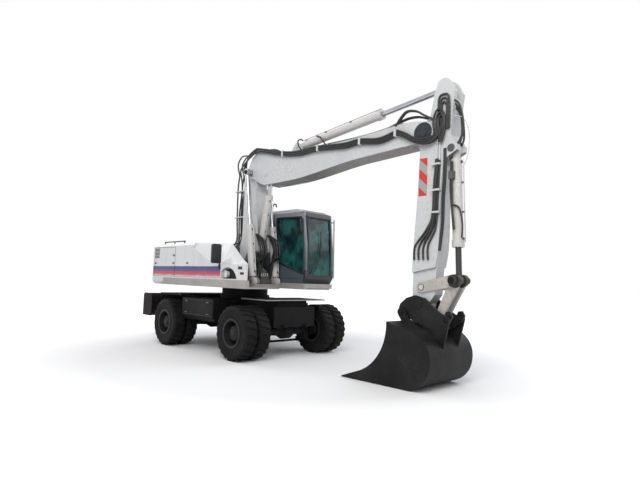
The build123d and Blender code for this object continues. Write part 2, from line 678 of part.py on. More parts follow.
with BuildPart() as cab_door:
    gap = 8
    block(door_rear_x + gap, door_front_x - gap, cab_out - cab_wall + 2, cab_out, door_low + gap, door_high - gap)
    block(door_rear_x + gap + 70, door_front_x - gap - 70, cab_out - cab_wall, cab_out + 1, 1990,
          door_high - gap - 70, Mode.SUBTRACT)
    # handle
    block(door_front_x - 70, door_front_x - 40, cab_out - 1, cab_out + 28, 1860, 1960)
    # hinge leaves standing proud of the rear edge, with their barrels
    for z in (1700, 2800):
        block(door_hinge_x, door_rear_x + gap + 60, cab_out + run_gap, cab_out + 14, z - 60, z + 60)
        block(door_rear_x + gap, door_rear_x + gap + 60, cab_out - 1, cab_out + 1, z - 60, z + 60)
        with BuildSketch(Plane.XY.offset(z - 60)):
            with Locations((door_hinge_x, cab_out + run_gap + 7)):
                Circle(7)
        extrude(amount=120)
save(cab_door, "cab_door")

with BuildPart() as door_glass:
    block(door_rear_x + gap + 70.4, door_front_x - gap - 70.4, cab_out - 30, cab_out - 30 + glass_thick, 1990.4,
          door_high - gap - 70.4)
save(door_glass, "door_glass")

cab_mid = (slot_half + cab_out) / 2
mirror_x = 700.0
seat_x = 330.0
cab_floor = cab_low + 60
with BuildPart() as seat:
    block(seat_x - 200, seat_x + 200, cab_mid - 180, cab_mid + 180, cab_floor, 1760)
    block(seat_x - 250, seat_x + 270, cab_mid - 250, cab_mid + 250, 1760, 1900)
    across(outlined([(seat_x - 150, 1890), (seat_x - 255, 1890), (seat_x - 400, 2560), (seat_x - 290, 2560)]),
           cab_mid - 240, cab_mid + 240)
save(seat, "seat")

with BuildPart() as controls:
    # side consoles with joysticks, and the steering column with its wheel
    for y in (cab_mid - 330, cab_mid + 262):
        block(seat_x - 160, seat_x + 330, y, y + 66, cab_floor, 1980)
        with BuildSketch(Plane.XY.offset(1979)):
            with Locations((seat_x + 260, y + 33)):
                Circle(20)
        extrude(amount=170)
    block(970, 1070, cab_mid - 50, cab_mid + 50, cab_floor, cab_floor + 40)
    along((1020, cab_floor), (900, 2200), cab_mid, 20, 650, 38)
    along((1020, cab_floor), (900, 2200), cab_mid, 635, 665, 190)
save(controls, "controls")

with BuildPart() as mirrors:
    # right mirror on its stalk, and the tall rail at the left front of the cab
    block(mirror_x - 22, mirror_x + 22, -half_width - 26, -half_width, 1750, 1830)
    with BuildSketch(Plane.XY.offset(1790)):
        with Locations((mirror_x, -half_width - 13)):
            Circle(13)
    extrude(amount=300)
    with BuildSketch(Plane.YZ.offset(mirror_x)):
        with Locations((-half_width - 112, 2050)):
            RectangleRounded(212, 390, 40)
    extrude(amount=50)
    along((cab_front_x - 60, 1640), (cab_front_x - 90, 2980), 1340, 0, 1340, 16)
    block(cab_front_x - 76, cab_front_x - 46, cab_out, 1345, 1660, 1690)
    block(cab_front_x - 106, cab_front_x - 76, cab_out, 1345, 2900, 2930)
save(mirrors, "mirrors")

with BuildPart() as valve_block:
    block(390, 640, -150, 150, frame_top, 1560)
    block(420, 610, -110, 110, 1560, 1630)
save(valve_block, "valve_block")

# ---------------------------------------------------------------- lower boom
with BuildPart() as lower_boom:
    # box from the foot to the tongue
    core = [(-305, 1900), (-217, 2153), (-80, 2450), (-62, 2650), (-62, 3600), (-20, 3755), (120, 3795),
            (190, 3790), (235, 3740), (382, 3535), (382, 3300), (350, 2950), (300, 2600), (240, 2420),
            (180, 2200), (60, 2000), (-60, 1870)]
    across(outlined(core), -lower_half, lower_half)
    round_y(boom_foot, 130, -tower_in + side_gap, tower_in - side_gap)
    # tongue at the joint with the upper boom
    across(wrapped((*boom_joint, 132), (40, 3700, 90), (262, 3640, 90)), -lower_tongue, lower_tongue)
    # wings that hold the adjusting ram's foot
    wing = wrapped((*adjust_foot, 100), (362, 2840, 58), (330, 2990, 50), (100, 2200, 60), (100, 3000, 60))
    both_sides(wing, wing_in, lower_half)
    both_sides(wrapped((*adjust_foot, 42)), 0, wing_in + 5)
    # closed hollow of the box
    across(outlined([(-218, 2085), (-197, 2148), (-61, 2444), (-42, 2648), (-42, 3596), (-5, 3738), (118, 3775),
                     (182, 3770), (218, 3728), (362, 3528), (362, 3305), (330, 2955), (281, 2605), (221, 2425),
                     (162, 2208), (82, 2085)]), -lower_half + plate, lower_half - plate, Mode.SUBTRACT)
    round_y(boom_foot, 55 + run_gap, -tower_in, tower_in, Mode.SUBTRACT)
    round_y(boom_joint, 50 + run_gap, -lower_tongue - 1, lower_tongue + 1, Mode.SUBTRACT)
save(lower_boom, "lower_boom")

# ---------------------------------------------------------------- upper boom
upper_rear_slot = 1010.0
upper_fork_x = 4440.0
with BuildPart() as upper_boom:
    outline = [(60, 4060), (130, 4190), (230, 4330), (410, 4425), (670, 4400), (1250, 4255), (2400, 4205),
               (3300, 4200), (4400, 4250), (4640, 4230), (4800, 4190), (4800, 3830), (4620, 3850), (3200, 3790),
               (1850, 3650), (700, 3640), (560, 3680), (330, 3800), (240, 3830), (100, 3860)]
    across(outlined(outline), -upper_half, upper_half)
    round_y(boom_joint, 145, -upper_half, upper_half)
    round_y(arm_pivot, 185, -upper_half - 5, upper_half + 5)
    # closed hollow
    across(outlined([(upper_rear_slot + 30, 3664), (1845, 3670), (3195, 3810), (upper_fork_x - 80, 3870),
                     (upper_fork_x - 80, 4228), (3300, 4180), (2400, 4185), (1260, 4233),
                     (upper_rear_slot + 30, 4285)]),
           -upper_half + plate, upper_half - plate, Mode.SUBTRACT)
    # slot between the rear cheeks and slot between the tip's cheeks
    block(-300, upper_rear_slot, -upper_half + upper_cheek, upper_half - upper_cheek, 3500, 4600, Mode.SUBTRACT)
    block(upper_fork_x, 5200, -arm_half - side_gap, arm_half + side_gap, 3500, 4600, Mode.SUBTRACT)
    # pins of both joints
    hoist_eye = hoist_y - RAMS["hoist"]["eye_w"] - side_gap
    round_y(boom_joint, 50, -hoist_eye, hoist_eye)
    round_y(arm_pivot, 58, -upper_half - 17, upper_half + 17)
    both_sides(wrapped((*boom_joint, 85)), upper_half, upper_half + 12)
    both_sides(wrapped((*adjust_head, 60)), upper_half, upper_half + 12)
    # ears of the arm ram's foot
    both_sides(wrapped((*arm_ram_foot, 80), (1420, 4220, 30), (1830, 4200, 30)), 67, 97)
    round_y(arm_ram_foot, 40, -110, 110)
save(upper_boom, "upper_boom")

# ---------------------------------------------------------------- arm
with BuildPart() as arm:
    upper = [(5020, 4760), (4965, 4620), (4890, 4250), (4760, 4170), (4640, 4010), (4680, 3860), (4712, 3740),
             (4672, 2930), (4622, 2280), (4590, 1760), (5018, 1845), (5070, 2200), (5090, 2900), (5130, 3450),
             (5200, 3560), (5370, 3650), (5370, 3740), (5260, 3900), (5290, 4300), (5330, 4600), (5230, 4790)]
    across(outlined(upper), -arm_half, arm_half)
    round_y(arm_pivot, 165, -arm_half, arm_half)
    round_y((5130, 4720), 120, -arm_half, arm_half)
    # narrower lower end with the boss of the bucket pin
    lower = [(4601, 1940), (4590, 1760), (4578, 1300), (4860, 1250), (4990, 1420), (5010, 1760), (5030, 1940)]
    across(outlined(lower), -arm_end_half, arm_end_half)
    round_y(bucket_pin, 150, -arm_end_half, arm_end_half)
    round_y(bucket_pin, 96, -coupler_in + side_gap, coupler_in - side_gap)
    # closed hollow below the pivot, and another in the head
    shaft = [(4735, 3700), (4692, 2930), (4642, 2280), (4612, 1785), (4995, 1862), (5050, 2210), (5070, 2900),
             (5100, 3400)]
    across(outlined(shaft), -arm_half + plate, arm_half - plate, Mode.SUBTRACT)
    head = [(4980, 4200), (5005, 4440), (5236, 4440), (5210, 3920), (5000, 3920)]
    across(outlined(head), -arm_half + plate, arm_half - plate, Mode.SUBTRACT)
    # slot for the arm ram's rod eye
    block(4700, 5500, -70, 70, 4490, 5000, Mode.SUBTRACT)
    # ears for the bucket ram's foot stand each side of the tube
    block(5150, 5500, -64, 64, 3500, 3800, Mode.SUBTRACT)
    round_y(bucket_ram_foot, 40, -80, 80)
    # rocker pins, and bores of the two turning joints
    round_y(rocker_pin, 42, -coupler_in + 4, coupler_in - 4)
    round_y(arm_pivot, 58 + run_gap, -arm_half - 1, arm_half + 1, Mode.SUBTRACT)
    round_y(bucket_pin, 45 + run_gap, -coupler_in, coupler_in, Mode.SUBTRACT)
save(arm, "arm")

with BuildPart() as rocker:
    both_sides(wrapped((*rocker_pin, 82), (*link_top_pin, 92)), rocker_in, rocker_out)
    both_sides(wrapped((*link_top_pin, 60)), 57.5, rocker_out + 90)
    both_sides(wrapped((*rocker_pin, 42 + run_gap)), rocker_in - 1, rocker_out + 1, Mode.SUBTRACT)
save(rocker, "rocker")

with BuildPart() as push_link:
    both_sides(wrapped((*link_top_pin, 90), (*link_low_pin, 62)), 62, 112)
    round_y(link_low_pin, 62, -112, 112)
    both_sides(wrapped((*link_top_pin, 60 + run_gap)), 60, 114, Mode.SUBTRACT)
save(push_link, "push_link")

hook_rear = (4450.0, 1120.0)
hook_front = (5250.0, 1060.0)
with BuildPart() as coupler:
    cheek = [(4360, 1130), (4400, 1250), (4520, 1350), (4680, 1400), (4860, 1360), (5020, 1230), (5130, 1150),
             (5210, 1110), (5235, 1175), (5300, 1185), (5345, 1110), (5290, 1010), (5180, 930), (5020, 860),
             (4860, 930), (4480, 1060)]
    both_sides(outlined(cheek), coupler_in, coupler_out)
    round_y(bucket_pin, 45, -coupler_out - 14, coupler_out + 14)
    both_sides(wrapped((*bucket_pin, 90)), coupler_out, coupler_out + 12)
    # cross plate, and the rear bar and two front stubs the bucket hangs on
    block(4965, 5125, -coupler_in - 5, coupler_in + 5, 893, 933)
    round_y(hook_rear, 50, -coupler_out - 40, coupler_out + 40)
    both_sides(wrapped((*hook_front, 46)), coupler_in - 10, coupler_out + 40)
save(coupler, "coupler")

# ---------------------------------------------------------------- bucket
with BuildPart() as bucket:
    # outer shape: flat floor, round back, and side edges that sweep back down to the lip; then the inside
    with BuildSketch(Plane.XZ):
        with BuildLine():
            Polyline((3900, 152), (3700, 80), (3530, 18), (3700, 12), (4750, 12))
            ThreePointArc((4750, 12), (5130, 160), (5240, 420))
            ThreePointArc((5240, 420), (5165, 710), (4960, 850))
            Line((4960, 850), (4445, 985))
            ThreePointArc((4445, 985), (4280, 430), (3900, 152))
        make_face()
    extrude(amount=bucket_half, both=True)
    with BuildSketch(Plane.XZ):
        with BuildLine():
            Polyline((4430, 960), (4100, 960), (3420, 500), (3420, 42), (4745, 38))
            ThreePointArc((4745, 38), (5111, 179), (5214, 420))
            ThreePointArc((5214, 420), (5143, 694), (4951, 824))
            Line((4951, 824), (4430, 960))
        make_face()
    extrude(amount=bucket_half - bucket_side, both=True, mode=Mode.SUBTRACT)
    # ears up to the coupler's bars
    ear_in = coupler_out + 4
    both_sides(wrapped((*hook_rear, 74), (4500, 950, 20), (4660, 905, 20)), ear_in, ear_in + 32)
    both_sides(wrapped((*hook_front, 68), (5000, 830, 20), (5190, 600, 20)), ear_in, ear_in + 32)
    both_sides(wrapped((*hook_rear, 50 + run_gap)), ear_in - 1, ear_in + 33, Mode.SUBTRACT)
    both_sides(wrapped((*hook_front, 46 + run_gap)), ear_in - 1, ear_in + 33, Mode.SUBTRACT)
save(bucket, "bucket")
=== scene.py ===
"""Looks of the wheeled excavator, laid over its fixed frame. Metres, X forward, Y left, Z up."""
import json
import math

import bmesh
import bpy
from mathutils import Matrix, Vector


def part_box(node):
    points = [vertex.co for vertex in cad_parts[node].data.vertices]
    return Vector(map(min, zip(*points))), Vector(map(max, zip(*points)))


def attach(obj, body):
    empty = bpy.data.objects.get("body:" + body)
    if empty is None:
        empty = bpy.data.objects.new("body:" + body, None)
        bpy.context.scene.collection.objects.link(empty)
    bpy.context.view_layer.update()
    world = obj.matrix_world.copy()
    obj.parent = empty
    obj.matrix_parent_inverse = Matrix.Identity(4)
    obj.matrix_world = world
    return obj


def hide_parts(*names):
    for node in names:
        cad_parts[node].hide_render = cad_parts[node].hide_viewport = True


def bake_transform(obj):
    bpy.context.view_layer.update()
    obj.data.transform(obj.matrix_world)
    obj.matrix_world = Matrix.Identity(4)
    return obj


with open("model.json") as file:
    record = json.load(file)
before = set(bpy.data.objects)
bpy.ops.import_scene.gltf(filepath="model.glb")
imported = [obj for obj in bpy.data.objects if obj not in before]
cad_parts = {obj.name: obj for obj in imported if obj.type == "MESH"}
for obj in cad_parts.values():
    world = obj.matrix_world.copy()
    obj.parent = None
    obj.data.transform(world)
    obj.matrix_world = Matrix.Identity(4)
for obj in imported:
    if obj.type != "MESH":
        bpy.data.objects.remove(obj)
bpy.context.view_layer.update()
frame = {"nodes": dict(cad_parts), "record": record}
pins = {joint["name"]: joint["pos_m"] for joint in frame["record"]["behaviour"]["joints"] if "pos_m" in joint}

# ================================================================ studio
# A pale floor that runs into a pale wall, soft lamps on both sides of the machine, and the
# camera at standing height off its right front corner, where it takes in the whole arm.
half_floor = 80.0
glow_start, glow_end, glow = 3.6, 9.0, 0.62  # the floor's fade into the wall, from and to, and its strength
lamp_aim = Vector((1.5, 0.0, 1.5))
for kept in list(bpy.data.lights):
    bpy.data.lights.remove(kept)


def in_scene(name, data):
    """New object that holds data."""
    holder = bpy.data.objects.new(name, data)
    bpy.context.scene.collection.objects.link(holder)
    return holder


camera = in_scene("camera", bpy.data.cameras.new("camera"))
bpy.context.scene.camera = camera
camera_at = Vector((9.090, -6.679, 1.587))
yaw, pitch, roll = 0.777, 0.084, 0.033
ahead = Vector((-math.cos(yaw) * math.cos(pitch), math.sin(yaw) * math.cos(pitch), math.sin(pitch)))
level = ahead.cross(Vector((0, 0, 1))).normalized()
upright = level.cross(ahead)
side = level * math.cos(roll) + upright * math.sin(roll)
top = upright * math.cos(roll) - level * math.sin(roll)
camera.matrix_world = Matrix.Translation(camera_at) @ Matrix((side, top, -ahead)).transposed().to_4x4()
camera.data.lens = 27.165
camera.data.sensor_width = 36.0
camera.data.clip_end = 400.0

world = bpy.data.worlds.new("studio air")
bpy.context.scene.world = world
world.use_nodes = True
world.node_tree.nodes["Background"].inputs["Color"].default_value = (0.93, 0.95, 1.0, 1.0)
world.node_tree.nodes["Background"].inputs["Strength"].default_value = 0.50
lamps = (  # name, place, width, power, colour
    ("key", (9.0, -9.0, 9.5), 7.0, 1000.0, (1.0, 0.98, 0.95)),
    ("fill", (6.0, 9.0, 7.0), 8.0, 320.0, (0.94, 0.97, 1.0)),
    ("back", (-10.0, -3.0, 8.0), 8.0, 380.0, (1.0, 1.0, 1.0)),
)
for name, place, width, power, colour in lamps:
    lamp = bpy.data.lights.new(name, "AREA")
    lamp.size = width
    lamp.energy = power
    lamp.color = colour
    aim = lamp_aim - Vector(place)
    in_scene(name, lamp).matrix_world = Matrix.Translation(place) @ aim.to_track_quat("-Z", "Y").to_matrix().to_4x4()
bpy.context.scene.view_settings.view_transform = "Standard"


class Shade:
    """A value in a material's nodes; Python's operators on it add Math nodes."""

    def __init__(self, tree, socket=None):
        self.tree = tree
        self.socket = socket

    def node(self, kind, settings, inputs, out=0):
        made = self.tree.nodes.new("ShaderNode" + kind)
        for name, value in settings.items():
            setattr(made, name, value)
        for key, value in inputs.items():
            if isinstance(value, Shade):
                self.tree.links.new(value.socket, made.inputs[key])
            else:
                made.inputs[key].default_value = value
        return Shade(self.tree, made.outputs[out])

    def maths(self, operation, *values):
        return self.node("Math", {"operation": operation}, dict(enumerate(values)))

    def __add__(self, other):
        return self.maths("ADD", self, other)

    __radd__ = __add__

    def __mul__(self, other):
        return self.maths("MULTIPLY", self, other)

    __rmul__ = __mul__

    def __sub__(self, other):
        return self.maths("SUBTRACT", self, other)

    def __rsub__(self, other):
        return self.maths("SUBTRACT", other, self)

    def __truediv__(self, other):
        return self.maths("DIVIDE", self, other)

    def __rtruediv__(self, other):
        return self.maths("DIVIDE", other, self)

    def __gt__(self, other):
        return self.maths("GREATER_THAN", self, other)

    def __lt__(self, other):
        return self.maths("LESS_THAN", self, other)

    def over(self, low, high):
        """0 below low, 1 above high and even between them."""
        return self.node("MapRange", {}, {0: self, 1: low, 2: high})

    def mix(self, first, second):
        """Colour first where this value is 0, second where it is 1."""
        pair = [c if isinstance(c, Shade) else (*c, 1.0) for c in (first, second)]
        return self.node("Mix", {"data_type": "RGBA"}, {0: self, 6: pair[0], 7: pair[1]}, out=2)

    def place(self):
        """Object coordinates and their X, Y and Z."""
        at = self.node("TexCoord", {}, {}, out="Object")
        split = self.node("SeparateXYZ", {}, {0: at})
        return at, *(Shade(self.tree, split.socket.node.outputs[i]) for i in range(3))

    def noise(self, at, scale, detail=4.0, rough=0.55):
        return self.node("TexNoise", {}, {"Vector": at, "Scale": scale, "Detail": detail, "Roughness": rough})

    def bump(self, height, distance, strength=1.0):
        return self.node("Bump", {}, {"Strength": strength, "Distance": distance, "Height": height})


def finish(name, paint):
    """New material; paint gets its Shade and returns what goes into the surface shader."""
    material = bpy.data.materials.new(name)
    material.use_nodes = True
    shader = material.node_tree.nodes["Principled BSDF"]
    for key, value in paint(Shade(material.node_tree)).items():
        if isinstance(value, Shade):
            material.node_tree.links.new(value.socket, shader.inputs[key])
        else:
            shader.inputs[key].default_value = value
    return material


def dress(material, *nodes):
    """Gives CAD nodes their material."""
    for node in nodes:
        frame["nodes"][node].data.materials.clear()
        frame["nodes"][node].data.materials.append(material)


def rays_shown(s):
    """1 where the eye, a polished face or a pane looks at the backdrop, 0 for light on the machine."""
    rays = s.node("LightPath", {}, {}, out="Is Camera Ray").socket.node.outputs
    seen, mirrored, through = (Shade(s.tree, rays["Is %s Ray" % kind]) for kind in ("Camera", "Glossy", "Transmission"))
    return seen + mirrored + through


def floor_paint(s):
    x, y = s.place()[1:3]
    from_machine = x - lamp_aim.x
    away = s.maths("SQRT", from_machine * from_machine + y * y)
    seen = rays_shown(s)
    return {"Base Color": seen.mix((0.80, 0.80, 0.80), (0.97, 0.97, 0.97)), "Roughness": 0.9,
        "Emission Color": (seen * away.over(glow_start, glow_end)).mix((0.0, 0.0, 0.0), (1.0, 1.0, 1.0)),
        "Emission Strength": glow}


air = Shade(world.node_tree)
plain_air = Shade(world.node_tree, world.node_tree.nodes["Background"].outputs[0])
white_air = air.node("Background", {}, {"Color": (1.0, 1.0, 1.0, 1.0), "Strength": 1.0})
both_airs = air.node("MixShader", {}, {0: rays_shown(air), 1: plain_air, 2: white_air})
world.node_tree.links.new(both_airs.socket, world.node_tree.nodes["World Output"].inputs["Surface"])

floor_mesh = bpy.data.meshes.new("floor")
floor_mesh.from_pydata([(x * half_floor, y * half_floor, 0.0) for x, y in ((-1, -1), (1, -1), (1, 1), (-1, 1))],
    [], [(0, 1, 2, 3)])
floor = in_scene("floor", floor_mesh)
floor_mesh.materials.append(finish("studio floor", floor_paint))

# ================================================================ bodywork
# Sheet-steel hood, its lid, the cast counterweight and the housing over the tank. All are
# sprayed white, with one set of blue and red bands laid along both flanks under the shoulder.
band_top, band_mid, band_low = 1.800, 1.690, 1.590
band_front = 0.74


def body_paint(s):
    at, x, y, z = s.place()
    cloud = s.noise(at, 1.3)
    fine = s.noise(at, 24.0, 6.0)
    white = (cloud * 0.6 + fine * 0.4).over(0.35, 0.72).mix((0.66, 0.67, 0.68), (0.76, 0.76, 0.76))
    normal = s.node("NewGeometry", {}, {}, out="Normal")
    upright_face = s.maths("ABSOLUTE", s.node("SeparateXYZ", {}, {0: normal}, out="Z")) < 0.45
    streak = s.noise(s.node("Mapping", {}, {"Vector": at, "Scale": (2.5, 1.0, 46.0)}), 2.2, 5.0, 0.7)
    height = z + (streak - 0.5) * 0.055
    inside = (z > band_low) * (z < band_top) * (x < band_front) * upright_face
    blend = (height * -1.0).over(-band_mid - 0.03, -band_mid + 0.03)
    hue = blend.mix((0.010, 0.020, 0.17), (0.50, 0.014, 0.055))
    pink = (height * -1.0).over(-band_low - 0.05, -band_low - 0.005)
    hue = (pink * streak.over(0.42, 0.6)).mix(hue, (0.78, 0.52, 0.55))
    line = (z > band_low - 0.028) * (z < band_low - 0.016) * (x < band_front) * upright_face
    white = line.mix(white, (0.22, 0.20, 0.24))
    low_dirt = (z * -1.0).over(-1.66, -1.40) * fine.over(0.35, 0.75)
    colour = inside.mix(low_dirt.mix(white, (0.42, 0.39, 0.34)), hue)
    rain = s.noise(s.node("Mapping", {}, {"Vector": at, "Scale": (9.0, 9.0, 0.7)}), 2.0, 4.0)
    colour = (rain.over(0.55, 0.75) * 0.22).mix(colour, (0.33, 0.31, 0.27))
    return {"Base Color": colour, "Roughness": fine.over(0.2, 0.9) * 0.22 + 0.26, "Coat Weight": 0.25,
        "Normal": s.bump(cloud, 0.0015)}


bodywork = finish("white bodywork", body_paint)
dress(bodywork, "hood", "hood_lid", "counterweight", "tank_housing")


def slab(points, y0, y1):
    """Flat (x, z) outline carried across from y0 to y1."""
    count = len(points)
    corners = [(x, y, z) for y in (y0, y1) for x, z in points]
    walls = [(i, (i + 1) % count, count + (i + 1) % count, count + i) for i in range(count)]
    return corners, [tuple(range(count))[::-1], tuple(range(count, 2 * count)), *walls]


def brick(x0, x1, y0, y1, z0, z1):
    return slab([(x0, z0), (x1, z0), (x1, z1), (x0, z1)], y0, y1)


def lathed(start, way, profile, sides=32):
    """Closed solid turned round the line from start along way; profile holds (distance, radius)."""
    start, way = Vector(start), Vector(way).normalized()
    first = way.orthogonal().normalized()
    second = way.cross(first)
    corners, faces = [], []
    for reach, r in profile:
        for i in range(sides):
            turn = 2 * math.pi * (i + 0.5) / sides
            corners.append(start + way * reach + (first * math.cos(turn) + second * math.sin(turn)) * r)
    for row in range(len(profile) - 1):
        for i in range(sides):
            j = (i + 1) % sides
            faces.append((row * sides + i, row * sides + j, (row + 1) * sides + j, (row + 1) * sides + i))
    faces += [tuple(range(sides)), tuple(range((len(profile) - 1) * sides, len(profile) * sides))]
    return corners, faces


def rod(start, end, r, sides=16):
    start, end = Vector(start), Vector(end)
    return lathed(start, end - start, ((0, r), ((end - start).length, r)), sides)


def settled(mesh, name, body, material, crease=0.55):
    """Makes a mesh a piece on a body: normals outwards, sharp edges kept crisp, its material put in its slot."""
    shaped = bmesh.new()
    shaped.from_mesh(mesh)
    bmesh.ops.recalc_face_normals(shaped, faces=shaped.faces)
    for face in shaped.faces:
        face.smooth = True
    for edge in shaped.edges:
        edge.smooth = len(edge.link_faces) == 2 and edge.calc_face_angle(0.0) < crease
    shaped.to_mesh(mesh)
    shaped.free()
    mesh.materials.clear()
    mesh.materials.append(material)
    piece = in_scene(name, mesh)
    if body:
        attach(piece, body)
    return piece


def forged(name, body, material, solids, bevel=0.0):
    """Joins closed solids, given as (corners, faces), in one piece with its sharp edges rounded."""
    shaped = bmesh.new()
    for corners, faces in solids:
        made = [shaped.verts.new(corner) for corner in corners]
        for face in faces:
            shaped.faces.new([made[i] for i in face])
    bmesh.ops.recalc_face_normals(shaped, faces=shaped.faces)
    if bevel:
        sharp = [edge for edge in shaped.edges if edge.calc_face_angle(0.0) > 0.6]
        bmesh.ops.bevel(shaped, geom=sharp, offset=bevel, segments=2, affect="EDGES", clamp_overlap=True)
    mesh = bpy.data.meshes.new(name)
    shaped.to_mesh(mesh)
    shaped.free()
    return settled(mesh, name, body, material)


def new_tree(name, sizes):
    """Empty geometry tree with named inputs, its group input and its group output."""
    tree = bpy.data.node_groups.new(name, "GeometryNodeTree")
    tree.interface.new_socket("Geometry", in_out="INPUT", socket_type="NodeSocketGeometry")
    for label, kind in sizes:
        tree.interface.new_socket(label, in_out="INPUT", socket_type="NodeSocket" + kind)
    tree.interface.new_socket("Geometry", in_out="OUTPUT", socket_type="NodeSocketGeometry")
    return tree, tree.nodes.new("NodeGroupInput"), tree.nodes.new("NodeGroupOutput")


def added(tree, *kinds):
    """New nodes of these kinds in a geometry tree."""
    return [tree.nodes.new(kind if kind.startswith("Shader") else "GeometryNode" + kind) for kind in kinds]


def wire(tree, *links):
    """Joins nodes, each link given as (node, its output, next node, its input)."""
    for giver, out, taker, way_in in links:
        tree.links.new(giver.outputs[out], taker.inputs[way_in])


def grown(tree, mesh, values):
    """Mesh that a geometry tree makes of another one, with its named inputs set."""
    holder = in_scene("seed", mesh)
    modifier = holder.modifiers.new("tree", "NODES")
    modifier.node_group = tree
    for item in tree.interface.items_tree:
        if item.in_out == "INPUT" and item.name in values:
            modifier[item.identifier] = values[item.name]
    bpy.context.view_layer.update()
    result = bpy.data.meshes.new_from_object(holder.evaluated_get(bpy.context.evaluated_depsgraph_get()))
    bpy.data.objects.remove(holder)
    return result


# Louvre slats, laid in even rows by one tree and shared by the hood, its lid and the cab's vents.
row_tree, row_in, row_out = new_tree("row of slats", (("Count", "Int"), ("Pitch", "Vector"), ("Metal", "Material")))
line, copies, real, metal = added(row_tree, "MeshLine", "InstanceOnPoints", "RealizeInstances", "SetMaterial")
wire(row_tree, (row_in, "Count", line, "Count"), (row_in, "Pitch", line, "Offset"), (line, 0, copies, "Points"),
    (row_in, "Geometry", copies, "Instance"), (copies, 0, real, 0), (real, 0, metal, 0),
    (row_in, "Metal", metal, "Material"), (metal, 0, row_out, 0))


def rough_mesh(solids):
    mesh = bpy.data.meshes.new("rough")
    corners, faces = [], []
    for more, more_faces in solids:
        faces += [tuple(i + len(corners) for i in face) for face in more_faces]
        corners += more
    mesh.from_pydata(corners, [], faces)
    return mesh


def slat_row(name, body, material, slat, count, pitch):
    mesh = grown(row_tree, rough_mesh([slat]), {"Count": count, "Pitch": pitch, "Metal": material})
    return settled(mesh, name, body, material)


def speckled(name, scale, detail, dark, light, rough, bump=0.0006, metal=0.0, low=0.3, high=0.8, spread=0.2):
    """Material of one fine noise between two colours, which is also its bump and its spread of roughness."""
    def paint(s):
        fine = s.noise(s.place()[0], scale, detail)
        return {"Base Color": fine.over(low, high).mix(dark, light), "Metallic": metal,
            "Roughness": fine.over(0.2, 0.8) * spread + rough, "Normal": s.bump(fine, bump)}
    return finish(name, paint)


def box_of(node):
    return [Vector(corner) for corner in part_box(node)]


trim, seal = (speckled(name, 90.0, 3.0, (0.010, 0.010, 0.011), (0.030, 0.030, 0.031), 0.5, 0.0005)
    for name in ("black trim", "window seal"))
hood_low, hood_high = box_of("hood")
lid_top = box_of("hood_lid")[1].z
near, far = hood_low.y, hood_high.y
slat_row("rear_louvres", "upper_body", trim,
    slab([(-2.14, 1.995), (-1.93, 1.995), (-1.94, 2.013), (-2.15, 2.013)], near - 0.006, near + 0.01), 7,
    (0.0, 0.0, 0.034))
slat_row("far_louvres", "upper_body", trim,
    slab([(-2.00, 1.90), (-1.20, 1.90), (-1.205, 1.918), (-2.005, 1.918)], far - 0.01, far + 0.006), 9,
    (0.0, 0.0, 0.036))
slat_row("lid_louvres", "hood_lid", trim,
    slab([(-1.86, lid_top - 0.012), (-1.84, lid_top + 0.014), (-1.835, lid_top + 0.006), (-1.85, lid_top - 0.012)],
         -0.55, 0.55), 20, (0.040, 0.0, 0.0))
# seams of the service doors, their latches, the handles of the lid and the rails on the roof
seams, latches = [], []
for face, out in ((near, -1.0), (far, 1.0)):
    for x in (-2.17, -1.16):
        seams.append(brick(x - 0.004, x + 0.004, face, face + out * 0.0025, 1.56, 2.245))
    seams.append(brick(-2.17, -1.16, face, face + out * 0.0025, 2.237, 2.245))
    for x, z in ((-1.22, 2.05), (-1.22, 1.87), (-2.10, 1.87), (-0.60, 1.87)):
        latches.append(brick(x - 0.030, x + 0.030, face, face + out * 0.016, z - 0.017, z + 0.017))
seams.append(brick(hood_high.x + 0.0005, hood_high.x + 0.004, near + 0.004, -0.43, 1.56, 2.23))
forged("hood_seams", "upper_body", trim, seams)
forged("hood_latches", "upper_body", trim, latches, 0.005)


def rail(start, end, r, stands, post_r, foot):
    """Rod from start to end, with a post at each (x, y) of stands up from the height foot."""
    return [rod(start, end, r)] + [rod((*at, foot), (*at, start[2]), post_r) for at in stands]


handle_z, rail_z = lid_top + 0.035, hood_high.z + 0.075
forged("lid_handles", "hood_lid", trim,
    [solid for y in (-0.5, 0.5) for solid in
     rail((-1.80, y - 0.09, handle_z), (-1.80, y + 0.09, handle_z), 0.009,
          ((-1.80, y - 0.085), (-1.80, y + 0.085)), 0.009, lid_top - 0.005)])
forged("roof_rails", "upper_body", trim,
    [solid for y in (-1.02, 1.02) for solid in
     rail((-2.15, y, rail_z), (-1.15, y, rail_z), 0.014, ((-2.12, y), (-1.65, y), (-1.18, y)), 0.013,
          hood_high.z - 0.01)])
exhaust_steel = speckled("exhaust steel", 14.0, 6.0, (0.045, 0.040, 0.038), (0.17, 0.09, 0.055), 0.45,
    0.001, 0.6, 0.35, 0.7, 0.3)
forged("exhaust", "upper_body", exhaust_steel,
    [lathed((-0.66, 0.55, hood_high.z - 0.01), (0, 0, 1), ((0, 0.085), (0.012, 0.085), (0.016, 0.058), (0.20, 0.058),
                                                           (0.20, 0.050), (0.05, 0.050)), 36)])

